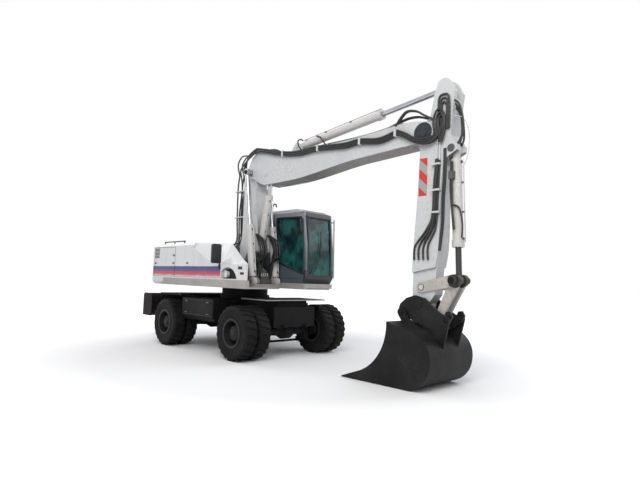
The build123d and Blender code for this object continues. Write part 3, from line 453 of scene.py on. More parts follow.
# Mesh guard of the filler niche in the housing's side, the filler cap with its ring, and the inserts
# of the two small vents in front of it. The guard is woven from round wires.
step_near = near + 0.075
niche_wires = []
for i in range(1, 22):
    x = 0.765 + i * 0.025
    high = 1.555 + 0.205 * math.sqrt(max(0.0, 1.0 - ((x - 0.98) / 0.335) ** 2)) if x > 0.98 else 1.755
    niche_wires.append(rod((x, step_near, 1.560), (x, step_near, high), 0.0032, 6))
for i in range(8):
    z = 1.575 + i * 0.024
    reach = 0.98 + 0.335 * math.sqrt(max(0.0, 1.0 - ((z - 1.555) / 0.215) ** 2))
    niche_wires.append(rod((0.765, step_near - 0.005, z), (min(1.305, reach), step_near - 0.005, z), 0.0032, 6))
forged("niche_guard", "upper_body", trim, niche_wires)
forged("niche_back", "upper_body", trim,
    [slab([(0.757, 1.557), (1.303, 1.557), (1.28, 1.64), (1.20, 1.715), (1.10, 1.752), (0.95, 1.757), (0.765, 1.72)],
          near + 0.084, near + 0.088)])
plated = speckled("plated steel", 40.0, 5.0, (0.42, 0.42, 0.43), (0.60, 0.60, 0.61), 0.30, metal=0.8)
forged("filler_ring", "upper_body", plated,
    [lathed((0.90, near + 0.025, 1.650), (0, -1, 0), ((0, 0.074), (0.010, 0.074), (0.014, 0.066), (0.014, 0.052),
                                                      (0.004, 0.048), (0, 0.048)), 40)])
forged("housing_vents", "upper_body", trim,
    [brick(1.332, 1.478, near + 0.010, near + 0.0145, 1.742, 1.798),
     brick(1.402, 1.538, near + 0.010, near + 0.0145, 1.642, 1.688)])

# ================================================================ upper frame
# Welded deck with its boom towers, hoist ears and side skirts. It is painted a warm light grey
# that has gone dull, with grime in patches and small chips.


def worn(name, base, dark, dirt, slot="black_paint", rough=0.42, chips=0.80, more=None, shine=0.5):
    """Material of paint with soft clouds, grime in patches and small chips down to dark primer."""
    def paint(s):
        at, x, y, z = s.place()
        cloud = s.noise(at, 1.7)
        fine = s.noise(at, 19.0, 8.0, 0.62)
        speck = s.noise(at, 60.0, 3.0, 0.7)
        colour = cloud.over(0.35, 0.68).mix(dark, base)
        grime = (fine * 0.5 + cloud * 0.5).over(0.50, 0.66)
        colour = (grime * 0.45).mix(colour, dirt)
        if more:
            colour = more(s, colour, x, y, z, fine)
        chip = (speck * 0.6 + fine * 0.4).over(chips - 0.10, chips - 0.07)
        colour = chip.mix(colour, (0.06, 0.05, 0.045))
        return {"Base Color": colour, "Roughness": fine.over(0.25, 0.8) * 0.25 + rough, "Specular IOR Level": shine,
            "Normal": s.bump(fine * 0.5 + speck * 0.5, 0.0012)}
    return finish(name, paint)


frame_paint = worn("frame paint", (0.44, 0.425, 0.40), (0.33, 0.315, 0.29), (0.20, 0.18, 0.155))
dress(frame_paint, "upper_frame")

# ================================================================ undercarriage
# Welded chassis, axles, steering gear, drive line and blade gear, all black and dusty, with
# latched tool boxes and a light line of bare metal on the front deck's edge.
black_steel = worn("black steel", (0.009, 0.009, 0.010), (0.004, 0.004, 0.005), (0.026, 0.023, 0.020),
    rough=0.50, chips=0.83, shine=0.15)
dress(black_steel, "chassis", "front_axle", "rear_axle", "slew_ring", "drive_line", "knuckle_left",
    "knuckle_right", "tie_rod", "blade_arms", "blade_links", "blade_ram_tube")
blade_steel = worn("blade steel", (0.016, 0.013, 0.011), (0.008, 0.007, 0.007), (0.050, 0.034, 0.026),
    rough=0.55, chips=0.72, shine=0.15)
dress(blade_steel, "blade")
tool_out = 1.20
hinges, handles = [], []
for out in (-1.0, 1.0):
    for x in (-0.62, 0.27):
        hinges.append(rod((x - 0.05, out * (tool_out + 0.008), 0.80), (x + 0.05, out * (tool_out + 0.008), 0.80),
                          0.010))
    for x in (-0.60, 0.25):
        handles.append(brick(x - 0.05, x + 0.05, out * tool_out, out * (tool_out + 0.018), 1.03, 1.06))
    handles.append(brick(-0.78, 0.43, out * tool_out, out * (tool_out + 0.004), 1.075, 1.082))
    handles.append(brick(-0.78, 0.43, out * tool_out, out * (tool_out + 0.004), 0.760, 0.768))
grey_edge = worn("scuffed edges", (0.11, 0.11, 0.11), (0.07, 0.07, 0.07), (0.14, 0.12, 0.10), rough=0.4)
forged("tool_box_fittings", "undercarriage", grey_edge, hinges + handles, 0.002)
bare = worn("bare edges", (0.38, 0.38, 0.37), (0.26, 0.26, 0.25), (0.18, 0.15, 0.12), rough=0.36)
forged("deck_edge", "undercarriage", bare,
    [brick(0.86, 1.702, -0.795, -0.789, 1.152, 1.172), brick(1.700, 1.706, -0.79, 0.79, 1.152, 1.172)], 0.001)
forged("blade_edge", "blade", bare,
    [brick(-2.428, -2.386, -1.226, 1.226, 0.588, 0.606)], 0.003)
forged("blade_caps", "blade_arms", black_steel,
    [lathed((pins["blade_lift"][0], out * 0.322, pins["blade_lift"][2]), (0, out, 0),
            ((0, 0.055), (0.004, 0.055), (0.006, 0.048)), 24) for out in (-1, 1)])

# ================================================================ wheels
# Steel rims painted dark grey, ten nuts each round a bolted hub, and twin road tyres with
# alternating blocks on their shoulders.


def rubber_paint(s):
    at = s.place()[0]
    fine = s.noise(at, 30.0, 6.0, 0.6)
    cloud = s.noise(at, 4.0)
    colour = (cloud * 0.6 + fine * 0.4).over(0.40, 0.75).mix((0.004, 0.004, 0.004), (0.018, 0.017, 0.016))
    return {"Base Color": colour, "Roughness": fine.over(0.2, 0.9) * 0.2 + 0.62, "Specular IOR Level": 0.15,
            "Normal": s.bump(fine, 0.002)}


rubber = finish("tyre rubber", rubber_paint)
rim_steel = worn("rim steel", (0.024, 0.024, 0.025), (0.012, 0.012, 0.013), (0.050, 0.045, 0.038),
    rough=0.45, chips=0.78, shine=0.25, slot="hub_paint")
corners = ("front_left", "front_right", "rear_left", "rear_right")
dress(rim_steel, *("rim_" + corner for corner in corners))

# Ring of copies round an axle that lies along Y.
ring_tree, ring_in, ring_out = new_tree("ring round an axle", (
    ("Count", "Int"), ("Start", "Float"), ("Centre", "Vector"),
    ("Metal", "Material")))
line, index, share, turn, angles, copies, real, move, metal = added(
    ring_tree, "MeshLine", "InputIndex", "ShaderNodeMath", "ShaderNodeMath", "ShaderNodeCombineXYZ",
    "InstanceOnPoints", "RealizeInstances", "Transform", "SetMaterial")
line.inputs["Offset"].default_value = (0.0, 0.0, 0.0)
share.operation, turn.operation = "DIVIDE", "MULTIPLY_ADD"
turn.inputs[1].default_value = 2 * math.pi
wire(ring_tree, (ring_in, "Count", line, "Count"), (index, 0, share, 0), (ring_in, "Count", share, 1),
    (share, 0, turn, 0), (ring_in, "Start", turn, 2), (turn, 0, angles, 1), (line, 0, copies, "Points"),
    (ring_in, "Geometry", copies, "Instance"), (angles, 0, copies, "Rotation"), (copies, 0, real, 0),
    (real, 0, move, 0), (ring_in, "Centre", move, "Translation"), (move, 0, metal, 0),
    (ring_in, "Metal", metal, "Material"), (metal, 0, ring_out, 0))


def ring(solids, centre, count, metal, start=0.0):
    return grown(ring_tree, rough_mesh(solids), {"Count": count, "Start": start, "Centre": centre, "Metal": metal})


def joined(meshes):
    """One mesh out of several."""
    whole = bmesh.new()
    for mesh in meshes:
        whole.from_mesh(mesh)
    result = bpy.data.meshes.new("joined")
    whole.to_mesh(result)
    whole.free()
    return result


tyre_r, tyre_wide, lug_deep, bead_r = 0.525, 0.272, 0.020, 0.2545
half_tyre = tyre_wide / 2
side_profile = (
    (half_tyre - 0.024, bead_r), (half_tyre - 0.0205, 0.289), (half_tyre - 0.012, 0.302), (half_tyre - 0.008, 0.330),
    (half_tyre - 0.0045, 0.345), (half_tyre - 0.0075, 0.349), (half_tyre - 0.0025, 0.385), (half_tyre, 0.425),
    (half_tyre - 0.001, 0.447), (half_tyre + 0.001, 0.451), (half_tyre - 0.001, 0.456), (half_tyre - 0.007, 0.478),
    (half_tyre - 0.018, 0.494), (half_tyre - 0.030, 0.502), (half_tyre - 0.060, tyre_r - lug_deep))
carcass_profile = [(-y, r) for y, r in side_profile] + [(y, r) for y, r in reversed(side_profile)]
lug_shape = [(half_tyre - 0.010, 0.488), (half_tyre - 0.022, 0.516), (half_tyre - 0.034, tyre_r - 0.0005),
    (-0.006, tyre_r - 0.0005), (-0.010, tyre_r - 0.004), (-0.014, 0.497)]


def lug(side_out, skew=0.028, half_wide=0.031):
    """One tread block, from the shoulder to just past the middle, slanted along the tread."""
    corners = []
    for edge in (-1, 1):
        for y, r in lug_shape:
            x = edge * half_wide * (1.0 if r > 0.50 else 1.12) + skew * (half_tyre - y) / half_tyre * side_out
            corners.append((x, side_out * y, -math.sqrt(r * r - x * x)))
    count = len(lug_shape)
    walls = [(i, (i + 1) % count, count + (i + 1) % count, count + i) for i in range(count)]
    return corners, [tuple(range(count))[::-1], tuple(range(count, 2 * count)), *walls]


def open_turn(profile, sides):
    """Skin turned round Y, open at its two ends' rims, which then meet in the bore."""
    corners = [(math.cos(2 * math.pi * i / sides) * r, y, math.sin(2 * math.pi * i / sides) * r)
        for y, r in profile for i in range(sides)]
    rows = len(profile)
    faces = [(row * sides + i, row * sides + (i + 1) % sides, (row + 1) % rows * sides + (i + 1) % sides,
        (row + 1) % rows * sides + i) for row in range(rows) for i in range(sides)]
    return corners, faces


for corner in corners:
    low, high = box_of("tyres_" + corner)
    outward = 1.0 if low.y > 0 else -1.0
    hub = Vector(pins["wheel_%s_spin" % corner])
    meshes = []
    for middle in (low.y + half_tyre, high.y - half_tyre):
        centre = (hub.x, middle, hub.z)
        meshes.append(ring([open_turn(carcass_profile, 96)], centre, 1, rubber))
        meshes.append(ring([lug(1.0)], centre, 24, rubber))
        meshes.append(ring([lug(-1.0)], centre, 24, rubber, math.pi / 24))
    tyre_pair = settled(joined(meshes), "tyre_pair_" + corner, "wheel_" + corner, rubber)
    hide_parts("tyres_" + corner)
    side = max(abs(low.y), abs(high.y))
    way = (0.0, outward, 0.0)
    nut = lathed((0.0, 0.0, 0.125), way, ((0, 0.024), (0.004, 0.024), (0.005, 0.017), (0.026, 0.017), (0.029, 0.013),
        (0.029, 0.009), (0.042, 0.009), (0.044, 0.006)), 6)
    nuts = ring([nut], (hub.x, outward * (side - 0.088), hub.z), 10, rim_steel)
    cap_nut = lathed((0.0, 0.0, 0.082), way, ((0, 0.010), (0.007, 0.010), (0.009, 0.007)), 6)
    cap_nuts = ring([cap_nut], (hub.x, outward * (side - 0.060), hub.z), 8, rim_steel)
    settled(joined([nuts, cap_nuts]), "wheel_nuts_" + corner, "wheel_" + corner, rim_steel)
    forged("hub_cap_" + corner, "wheel_" + corner, rim_steel,
        [lathed((hub.x, outward * (side - 0.0605), hub.z), way,
                ((0, 0.070), (0.010, 0.070), (0.016, 0.062), (0.024, 0.040), (0.027, 0.015)), 40)])

# ================================================================ cab
# Pressed-steel cab in blue-grey with a paler roof, panes tinted dark with a painted reflection of teal leaves, in
# rubber seals, and a black furnished inside. The left mirror on its pale rail, the wiper and the roof hook are bolted
# on.
right_y, left_y = (corner.y for corner in box_of("cab_shell"))


def cab_coat(s):
    at, x, y, z = s.place()
    cloud = s.noise(at, 2.0)
    fine = s.noise(at, 22.0, 6.0)
    low = (cloud * 0.5 + fine * 0.5).over(0.35, 0.7).mix((0.070, 0.094, 0.112), (0.094, 0.122, 0.142))
    high = (cloud * 0.5 + fine * 0.5).over(0.35, 0.7).mix((0.20, 0.215, 0.25), (0.26, 0.275, 0.31))
    colour = z.over(1.9, 2.5).mix(low, high)
    colour = (z > 3.085).mix(colour, (0.66, 0.69, 0.70))
    dark_front = (x > 1.395) * (z < 1.80)
    colour = dark_front.mix(colour, (0.030, 0.032, 0.036))
    inner = (x.over(-0.225, -0.215) * (x * -1.0).over(-1.44, -1.42)
             * y.over(0.455, 0.46) * (y * -1.0).over(-1.225, -1.22))
    colour = inner.mix(colour, (0.030, 0.031, 0.035))
    return {"Base Color": colour, "Roughness": fine.over(0.2, 0.9) * 0.2 + 0.32, "Coat Weight": 0.2,
        "Normal": s.bump(cloud, 0.0012)}


cab_paint = finish("cab paint", cab_coat)
dress(cab_paint, "cab_shell", "cab_door")


# Dark tint with a painted reflection: patches of teal leaves, and more teal towards the bottom of each pane.
def pane_tint_and_painted_reflection(s):
    at, x, y, z = s.place()
    painted_leaf_reflection = s.noise(at, 3.0, 5.0, 0.6)
    deep = (z * -1.0).over(-2.9, -2.1)
    colour = (painted_leaf_reflection.over(0.44, 0.62) * 0.8 + deep * 0.2).mix((0.002, 0.012, 0.015), (0.022, 0.150, 0.140))
    return {"Base Color": colour, "Roughness": 0.05, "Alpha": 0.82, "Specular IOR Level": 0.35}


pane = finish("tinted pane with painted reflection", pane_tint_and_painted_reflection)
dress(pane, "cab_glass", "door_glass")


def fabric_weave(s):
    x, y, z = s.place()[1:]
    weave = s.maths("SINE", x * 900.0) * s.maths("SINE", z * 900.0 + y * 900.0)
    return {"Base Color": weave.over(-1.0, 1.0).mix((0.02, 0.02, 0.023), (0.055, 0.055, 0.062)), "Roughness": 0.9,
        "Normal": s.bump(weave, 0.0008)}


dress(finish("seat cloth", fabric_weave), "seat")


def moulded_plastic(s):
    at, x, y, z = s.place()
    grain = s.noise(at, 220.0, 3.0)
    cloud = s.noise(at, 5.0)
    black = cloud.over(0.35, 0.7).mix((0.013, 0.013, 0.015), (0.027, 0.027, 0.029))
    return {"Base Color": (y > 1.22).mix(black, (0.47, 0.47, 0.46)),
        "Roughness": 0.46, "Specular IOR Level": 0.3, "Normal": s.bump(grain, 0.0006)}


black_plastic = finish("black plastic", moulded_plastic)
dress(black_plastic, "controls", "mirrors")

# Round section swept along a run of points, for seals, hoses, pipes, rails and weld beads.
sweep_tree, sweep_in, sweep_out = new_tree("swept round", (("Radius", "Float"), ("Sides", "Int"), ("Step", "Float"),
    ("Metal", "Material")))
curve, kind, even, disc, skin, real, metal = added(
    sweep_tree, "MeshToCurve", "CurveSplineType", "ResampleCurve", "CurvePrimitiveCircle", "CurveToMesh",
    "RealizeInstances", "SetMaterial")
kind.spline_type = "CATMULL_ROM"
even.mode = "LENGTH"
skin.inputs["Fill Caps"].default_value = True
wire(sweep_tree, (sweep_in, "Geometry", curve, 0), (curve, 0, kind, 0), (kind, 0, even, 0),
    (sweep_in, "Step", even, "Length"), (sweep_in, "Sides", disc, "Resolution"), (sweep_in, "Radius", disc, "Radius"),
    (even, 0, skin, "Curve"), (disc, 0, skin, "Profile Curve"), (skin, 0, real, 0), (real, 0, metal, 0),
    (sweep_in, "Metal", metal, "Material"), (metal, 0, sweep_out, 0))


def swept(name, body, material, runs, radius, sides=10, step=0.03, closed=False):
    """One piece of round section along each run of points."""
    points, edges = [], []
    for run in runs:
        first = len(points)
        points += [tuple(point) for point in run]
        edges += [(i, i + 1) for i in range(first, len(points) - 1)]
        if closed:
            edges.append((len(points) - 1, first))
    mesh = bpy.data.meshes.new("runs")
    mesh.from_pydata(points, edges, [])
    result = grown(sweep_tree, mesh, {"Radius": radius, "Sides": sides, "Step": step, "Metal": material})
    return settled(result, name, body, material, 1.2)


def rounded(points, cut=0.05):
    """Points with each corner replaced by two points close to it, so that a sweep turns there neatly."""
    result = []
    for i, here in enumerate(points):
        before, after = Vector(points[i - 1]), Vector(points[(i + 1) % len(points)])
        here = Vector(here)
        for other in (before, after):
            run = other - here
            result.append(here + run.normalized() * min(cut, run.length * 0.3))
    return result


window = [
    (0.43, 2.01), (0.43, 2.93), (0.48, 2.98), (1.25, 2.96), (1.33, 2.88), (1.385, 2.30), (1.40, 1.76), (1.33, 1.73),
    (0.56, 1.96)]
swept("window_seals", "upper_body", seal,
    [rounded([(x, right_y - 0.002, z) for x, z in window], 0.03),
     rounded([(1.460, 0.49, 1.68), (1.460, 1.187, 1.68), (1.455, 1.187, 2.30), (1.385, 1.187, 2.96),
              (1.385, 0.49, 2.96),
              (1.455, 0.49, 2.30)], 0.03),
     rounded([(-0.262, 0.505, 1.90), (-0.262, 1.172, 1.90), (-0.262, 1.172, 2.90), (-0.262, 0.505, 2.90)], 0.03)],
    0.020, 8, 0.02, closed=True)
swept("side_window_seal", "upper_body", seal,
    [rounded([(-0.17, left_y + 0.001, 1.95), (0.26, left_y + 0.001, 1.95), (0.26, left_y + 0.001, 2.93),
              (-0.17, left_y + 0.001, 2.93)], 0.03)], 0.010, 8, 0.02, closed=True)
swept("door_seal", "cab_door", seal,
    [rounded([(0.408, left_y + 0.001, 1.99), (1.172, left_y + 0.001, 1.99), (1.172, left_y + 0.001, 2.912),
              (0.408, left_y + 0.001, 2.912)], 0.03)], 0.011, 8, 0.02, closed=True)
# gutter along the roof's edges, hook on top, wiper
swept("roof_gutter", "upper_body", cab_paint,
    [[(-0.10, right_y - 0.003, 3.118), (0.60, right_y - 0.003, 3.130), (1.12, right_y - 0.003, 3.122),
      (1.33, right_y - 0.003, 3.058)],
     [(-0.10, left_y + 0.003, 3.118), (0.60, left_y + 0.003, 3.130), (1.12, left_y + 0.003, 3.122),
      (1.33, left_y + 0.003, 3.058)]],
    0.014, 8)
swept("roof_hook", "upper_body", black_plastic,
    [[(0.16, 0.50, 3.14), (0.16, 0.50, 3.29), (0.20, 0.50, 3.345), (0.27, 0.50, 3.33), (0.285, 0.50, 3.27)]],
    0.016, 10, 0.015)
swept("wiper", "upper_body", black_plastic,
    [[(1.492, 0.60, 1.72), (1.490, 0.78, 2.02), (1.481, 0.86, 2.42)]], 0.008, 8, 0.03)
forged("wiper_blade", "upper_body", black_plastic,
    [slab([(1.462, 2.06), (1.476, 2.06), (1.452, 2.66), (1.438, 2.66)], 0.850, 0.866)], 0.002)
# dark strips of painted shade for the pressed lines of the cab's right side and front, and the slats of the vent under
# the right window
forged("cab_crease_shade_strips", "upper_body", seal,
    [brick(-0.20, 1.38, right_y - 0.002, right_y + 0.001, 1.600, 1.606),
     brick(0.355, 0.361, right_y - 0.002, right_y + 0.001, 1.62, 3.00),
     brick(1.4697, 1.474, 0.50, 1.17, 1.644, 1.650)])
slat_row("cab_vent", "upper_body", seal,
    slab([(-0.16, 1.66), (0.10, 1.66), (0.098, 1.674), (-0.162, 1.674)], right_y - 0.007, right_y + 0.008), 8,
    (0.0, 0.0, 0.030))
forged("door_step", "upper_body", black_steel,
    [brick(0.50, 1.10, left_y - 0.005, left_y + 0.020, 1.415, 1.435)], 0.004)


def mirror_silver(s):
    at = s.place()[0]
    haze = s.noise(at, 6.0, 3.0)
    return {"Base Color": haze.over(0.3, 0.8).mix((0.55, 0.58, 0.60), (0.70, 0.72, 0.74)), "Metallic": 1.0,
            "Roughness": 0.06}


mirror_y = box_of("mirrors")[0].y
forged("mirror_glass", "upper_body", finish("mirror glass", mirror_silver),
    [brick(0.6955, 0.6995, mirror_y + 0.014, mirror_y + 0.192, 1.875, 2.225)], 0.002)

# ================================================================ engine and valve block
# Cast engine block under the hood and the valve block between the towers, dark grey and oily.
# Hose fittings stand in rows on the valve block.
cast_grey = worn("oily castings", (0.11, 0.11, 0.115), (0.06, 0.06, 0.063), (0.04, 0.034, 0.028), rough=0.38,
                 slot="engine_paint")
dress(cast_grey, "engine", "valve_block")
fittings = [lathed((x, y, 1.628), (0, 0, 1), ((0, 0.019), (0.016, 0.019), (0.017, 0.014), (0.05, 0.014), (0.052, 0.017),
                                      (0.075, 0.017)), 6)
    for x in (0.455, 0.515, 0.575) for y in (-0.085, -0.03, 0.03, 0.085)]
forged("valve_fittings", "upper_body", plated, fittings)
forged("valve_spools", "upper_body", cast_grey,
    [rod((0.64, y, 1.45), (0.685, y, 1.45), 0.020, 16) for y in (-0.11, -0.055, 0.0, 0.055, 0.11)], 0.003)
slat_row("engine_ribs", "upper_body", cast_grey, brick(-1.60, -1.585, -0.40, 0.40, 2.055, 2.085), 20,
    (0.042, 0.0, 0.0))

# ================================================================ booms and arm
# Box-section booms and arm in off-white, with painted shade on their downward faces, and oil and dust
# round the pins. The arm's right face carries slanted red and grey warning bands.


# Painted shade: faces that look down are darkened, to a greenish grey towards the booms' foot and a brown towards the
# arm.
def painted_underside_shade(s, colour, x, y, z, fine):
    normal = s.node("NewGeometry", {}, {}, out="Normal")
    down = (s.node("SeparateXYZ", {}, {0: normal}, out="Z") * -1.0).over(0.35, 0.7)
    return (down * 0.85).mix(colour, x.over(1.0, 4.0).mix((0.105, 0.110, 0.095), (0.085, 0.060, 0.045)))


def warning_bands(s, colour, x, y, z, fine):
    # the arm first gets the painted shade on its downward faces, then its printed bands
    colour = painted_underside_shade(s, colour, x, y, z, fine)
    zone = (y < -0.153) * (x > 4.690) * (x < 4.850) * (z > 2.985) * (z < 3.600)
    along = s.maths("FRACT", (z - 2.985 + (x - 4.690) * 0.9) / 0.307)
    return zone.mix(colour, (along < 0.5).mix((0.34, 0.33, 0.33), (0.52, 0.035, 0.030)))


def greased(s, colour, x, y, z, fine):
    """Black grease spread round the linkage's two pins."""
    head, pin = ((x - a) * (x - a) + (z - b) * (z - b) for a, b in ((5.340, 1.650), (4.760, 1.530)))
    smear = (fine - 0.5) * 0.012
    colour = (head + smear < 0.0125).mix(colour, (0.022, 0.019, 0.017))
    return (pin + smear * 0.4 < 0.0030).mix(colour, (0.045, 0.040, 0.036))


boom_colours = ((0.62, 0.63, 0.63), (0.53, 0.55, 0.56), (0.33, 0.31, 0.28))
boom_paint = worn("boom paint", *boom_colours, rough=0.36, chips=0.84, more=painted_underside_shade, slot="white_paint")
dress(boom_paint, "lower_boom", "upper_boom")
dress(worn("arm paint", *boom_colours, rough=0.36, chips=0.84, more=warning_bands), "arm")
ram_paint = worn("ram paint", (0.66, 0.65, 0.63), (0.56, 0.55, 0.53), (0.34, 0.31, 0.27), rough=0.33, chips=0.85)
dress(ram_paint, "hoist_ram_tube", "adjust_ram_tube", "arm_ram_tube", "bucket_ram_tube")
link_paint = worn("link paint", (0.55, 0.53, 0.50), (0.38, 0.34, 0.31), (0.20, 0.12, 0.09), rough=0.5,
    chips=0.74, more=greased)
dress(link_paint, "push_link", "rocker")
boss_blue = worn("boss paint", (0.030, 0.038, 0.048), (0.018, 0.024, 0.032), (0.045, 0.04, 0.036), rough=0.4, shine=0.3)
caps = (  # piece, body, joint it stands at, outer face, radius, bolts, material
    ("boom_foot_caps", "upper_body", "lower_boom_swing", 0.226, 0.080, 4, grey_edge),
    ("boom_joint_caps", "upper_boom", "upper_boom_swing", 0.212, 0.070, 4, grey_edge),
    ("arm_pivot_bosses", "upper_boom", "arm_swing", 0.205, 0.168, 8, boss_blue),
    ("arm_pivot_caps", "upper_boom", "arm_swing", 0.216, 0.080, 4, boss_blue),
    ("adjust_foot_caps", "lower_boom", "adjust_ram_pivot", 0.190, 0.070, 4, grey_edge),
    ("bucket_ram_caps", "arm", "bucket_ram_pivot", 0.155, 0.062, 4, grey_edge),
    ("rocker_head_caps", "rocker", "push_link_pivot", 0.240, 0.052, 4, black_steel),
    ("hoist_foot_caps", "upper_body", "hoist_ram_pivot", 0.404, 0.040, 0, grey_edge),
)
for name, body, joint, face, r, bolts, metal in caps:
    x, z = pins[joint][0], pins[joint][2]
    solids = []
    for way in (-1, 1):
        solids.append(lathed((x, way * (face - 0.001), z), (0, way, 0), ((0, r), (0.009, r), (0.011, r - 0.003)), 40))
        for i in range(bolts):
            turn = 2 * math.pi * (i + 0.5) / bolts
            at = (x + 0.78 * r * math.cos(turn), way * (face + 0.009), z + 0.78 * r * math.sin(turn))
            solids.append(lathed(at, (0, way, 0), ((0, 0.011), (0.008, 0.011), (0.010, 0.008)), 6))
    forged(name, body, metal, solids)
# collars on the hoist rods' eyes, at the joint of the two booms
hoist_eye = pins["upper_boom_swing"]
forged("hoist_eye_caps", "hoist_ram_rod", black_steel,
    [lathed((hoist_eye[0], way * 0.361, hoist_eye[2]), (0, way, 0), ((0, 0.050), (0.014, 0.050), (0.017, 0.045)), 32)
     for way in (-1, 1)])
# weld beads where the booms' side plates meet their top and bottom plates
beads = ([(0.67, 4.398), (1.25, 4.253), (2.40, 4.203), (3.30, 4.198), (4.40, 4.248)],
    [(0.70, 3.642), (1.85, 3.652), (3.20, 3.792), (4.40, 3.845)])
swept("upper_boom_welds", "upper_boom", boom_paint,
    [[(x, way * 0.1995, z) for x, z in bead] for bead in beads for way in (-1, 1)], 0.0045, 6, 0.10)
swept("arm_welds", "arm", boom_paint,
    [[(x, way * 0.1545, z) for x, z in bead] for way in (-1, 1)
     for bead in ([(4.710, 3.72), (4.673, 2.93), (4.623, 2.28), (4.595, 1.80)],
                  [(5.128, 3.43), (5.089, 2.90), (5.069, 2.20), (5.019, 1.87)])], 0.0045, 6, 0.10)

# ================================================================ rams
# Hydraulic rams with chromed rods. Each tube has a steel pipe clipped along it from a port at the
# foot to a port at the gland, where a ring of eight bolts holds the rod seal.


def chrome_plate(s):
    at = s.place()[0]
    haze = s.noise(at, 9.0, 5.0)
    return {"Base Color": haze.over(0.3, 0.8).mix((0.36, 0.37, 0.38), (0.52, 0.53, 0.55)), "Metallic": 1.0,
        "Roughness": haze * 0.16 + 0.14}


chrome = finish("hard chrome", chrome_plate)
dress(chrome, "hoist_ram_rod", "adjust_ram_rod", "arm_ram_rod", "blade_ram_rod")
dress(worn("oily rod", (0.045, 0.043, 0.042), (0.025, 0.024, 0.024), (0.03, 0.026, 0.022), rough=0.25),
      "bucket_ram_rod")
ram_lines = (  # ram, (x, z) of its rod's eye, tube centres, tube radius, foot to gland, side of the pipe
    ("hoist", (0.195, 3.970), (-0.318, 0.318), 0.086, 1.265, 1.0),
    ("adjust", (0.705, 3.885), (0.0,), 0.084, 1.235, 1.0),
    ("arm", (5.105, 4.722), (0.0,), 0.080, 2.205, -1.0),
    ("bucket", (5.340, 1.650), (0.0,), 0.084, 1.530, -1.0),
)
foot_port, port_before_gland, gland_bolts = 0.21, 0.12, 8
for ram, eye, centres, r, gland, way in ram_lines:
    foot = Vector((pins[ram + "_ram_pivot"][0], 0.0, pins[ram + "_ram_pivot"][2]))
    along = (Vector((eye[0], 0.0, eye[1])) - foot).normalized()
    across = Vector((along.z, 0.0, -along.x)) * way
    gland_port = gland - port_before_gland
    pipes, ports, clips = [], [], []
    for y in centres:
        middle = foot + Vector((0.0, y, 0.0))
        pipes.append([middle + along * reach + across * (r + out) for reach, out in (
            (foot_port, -0.01), (foot_port, 0.028), (0.25, 0.036), (gland - 0.16, 0.036), (gland_port, 0.028),
            (gland_port, -0.01))])
        for reach in (foot_port, gland_port):
            ports.append(lathed(middle + along * reach + across * (r - 0.012), across,
                ((0, 0.026), (0.022, 0.026), (0.022, 0.019), (0.034, 0.019)), 6))
        for share in (0.35, 0.65):
            ports.append(lathed(middle + along * (gland * share - 0.012) + across * (r + 0.018), along,
                ((0, 0.024), (0.024, 0.024)), 8))
        for i in range(gland_bolts):
            turn = 2 * math.pi * (i + 0.5) / gland_bolts
            spoke = across * math.cos(turn) + Vector((0.0, 1.0, 0.0)) * math.sin(turn)
            clips.append(lathed(middle + along * (gland - 0.002) + spoke * (r - 0.014), along,
                ((0, 0.010), (0.010, 0.010), (0.012, 0.007)), 6))
    swept(ram + "_pipes", ram + "_ram_tube", plated, pipes, 0.010, 8, 0.03)
    forged(ram + "_ports", ram + "_ram_tube", grey_edge, ports)
    forged(ram + "_gland_bolts", ram + "_ram_tube", plated, clips)

# ================================================================ hoses
# Hydraulic hoses from the valve block up both booms to the rams and the coupler. They are black
# rubber in bundles, held by pale clamps, and hang in slack loops across each joint.
hose_black = speckled("hose rubber", 70.0, 4.0, (0.009, 0.009, 0.010), (0.028, 0.027, 0.026), 0.42)
pale_clamp = worn("pale clamps", (0.66, 0.67, 0.68), (0.55, 0.56, 0.57), (0.30, 0.28, 0.25), slot="white_paint")


def at_side(y, *route):
    """An (x, z) route set in the upright plane y."""
    return [(x, y, z) for x, z in route]


# places of the six hoses beside the upper boom, as (y, height over the bundle's middle)
bundle = ((-0.221, 0.036), (-0.221, 0.000), (-0.221, -0.036), (-0.258, 0.036), (-0.258, 0.000), (-0.258, -0.036))
rear_ys = (0.10, 0.02, -0.10, 0.06, -0.04, -0.13)
rear_a = ((-0.395, 2.62), (-0.426, 2.948), (-0.445, 3.672), (-0.400, 4.000))
rear_b = ((-0.28, 2.62), (-0.300, 3.059), (-0.235, 3.649), (-0.290, 3.960))
swept("lower_boom_hoses", "lower_boom", hose_black,
    [at_side(y, *rear_a) for y in rear_ys[:3]] + [at_side(y, *rear_b) for y in rear_ys[3:]]
    + [at_side(y, (-0.215, 2.62), (-0.245, 3.059), (-0.190, 3.40), (-0.135, 3.649), (-0.050, 3.720))
       for y in (-0.12, -0.07)],
    0.018)
forged("lower_boom_clamps", "lower_boom", pale_clamp,
    [slab([(-0.475, z), (-0.060, z), (-0.060, z + 0.028), (-0.475, z + 0.028)], -0.155, 0.125)
     for z in (2.98, 3.60)], 0.006)
over_joint = swept("joint_hoses", None, hose_black,
    [[(-0.400, y, 4.000), (-0.490, y, 4.280), (-0.300, y - 0.03, 4.440), (-0.022, (y + end) / 2, 4.420),
      (0.250, end, 4.425 + lift), (0.436, end, 4.455 + lift)]
     for y, (end, lift) in zip(rear_ys[:3], bundle[:3])]
    + [[(-0.290, y, 3.960), (-0.330, y, 4.110), (-0.151, (y + end) / 2, 4.190), (0.146, end, 4.330 + lift),
        (0.436, end, 4.455 + lift)] for y, (end, lift) in zip(rear_ys[3:], bundle[3:])], 0.0175)
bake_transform(over_joint)
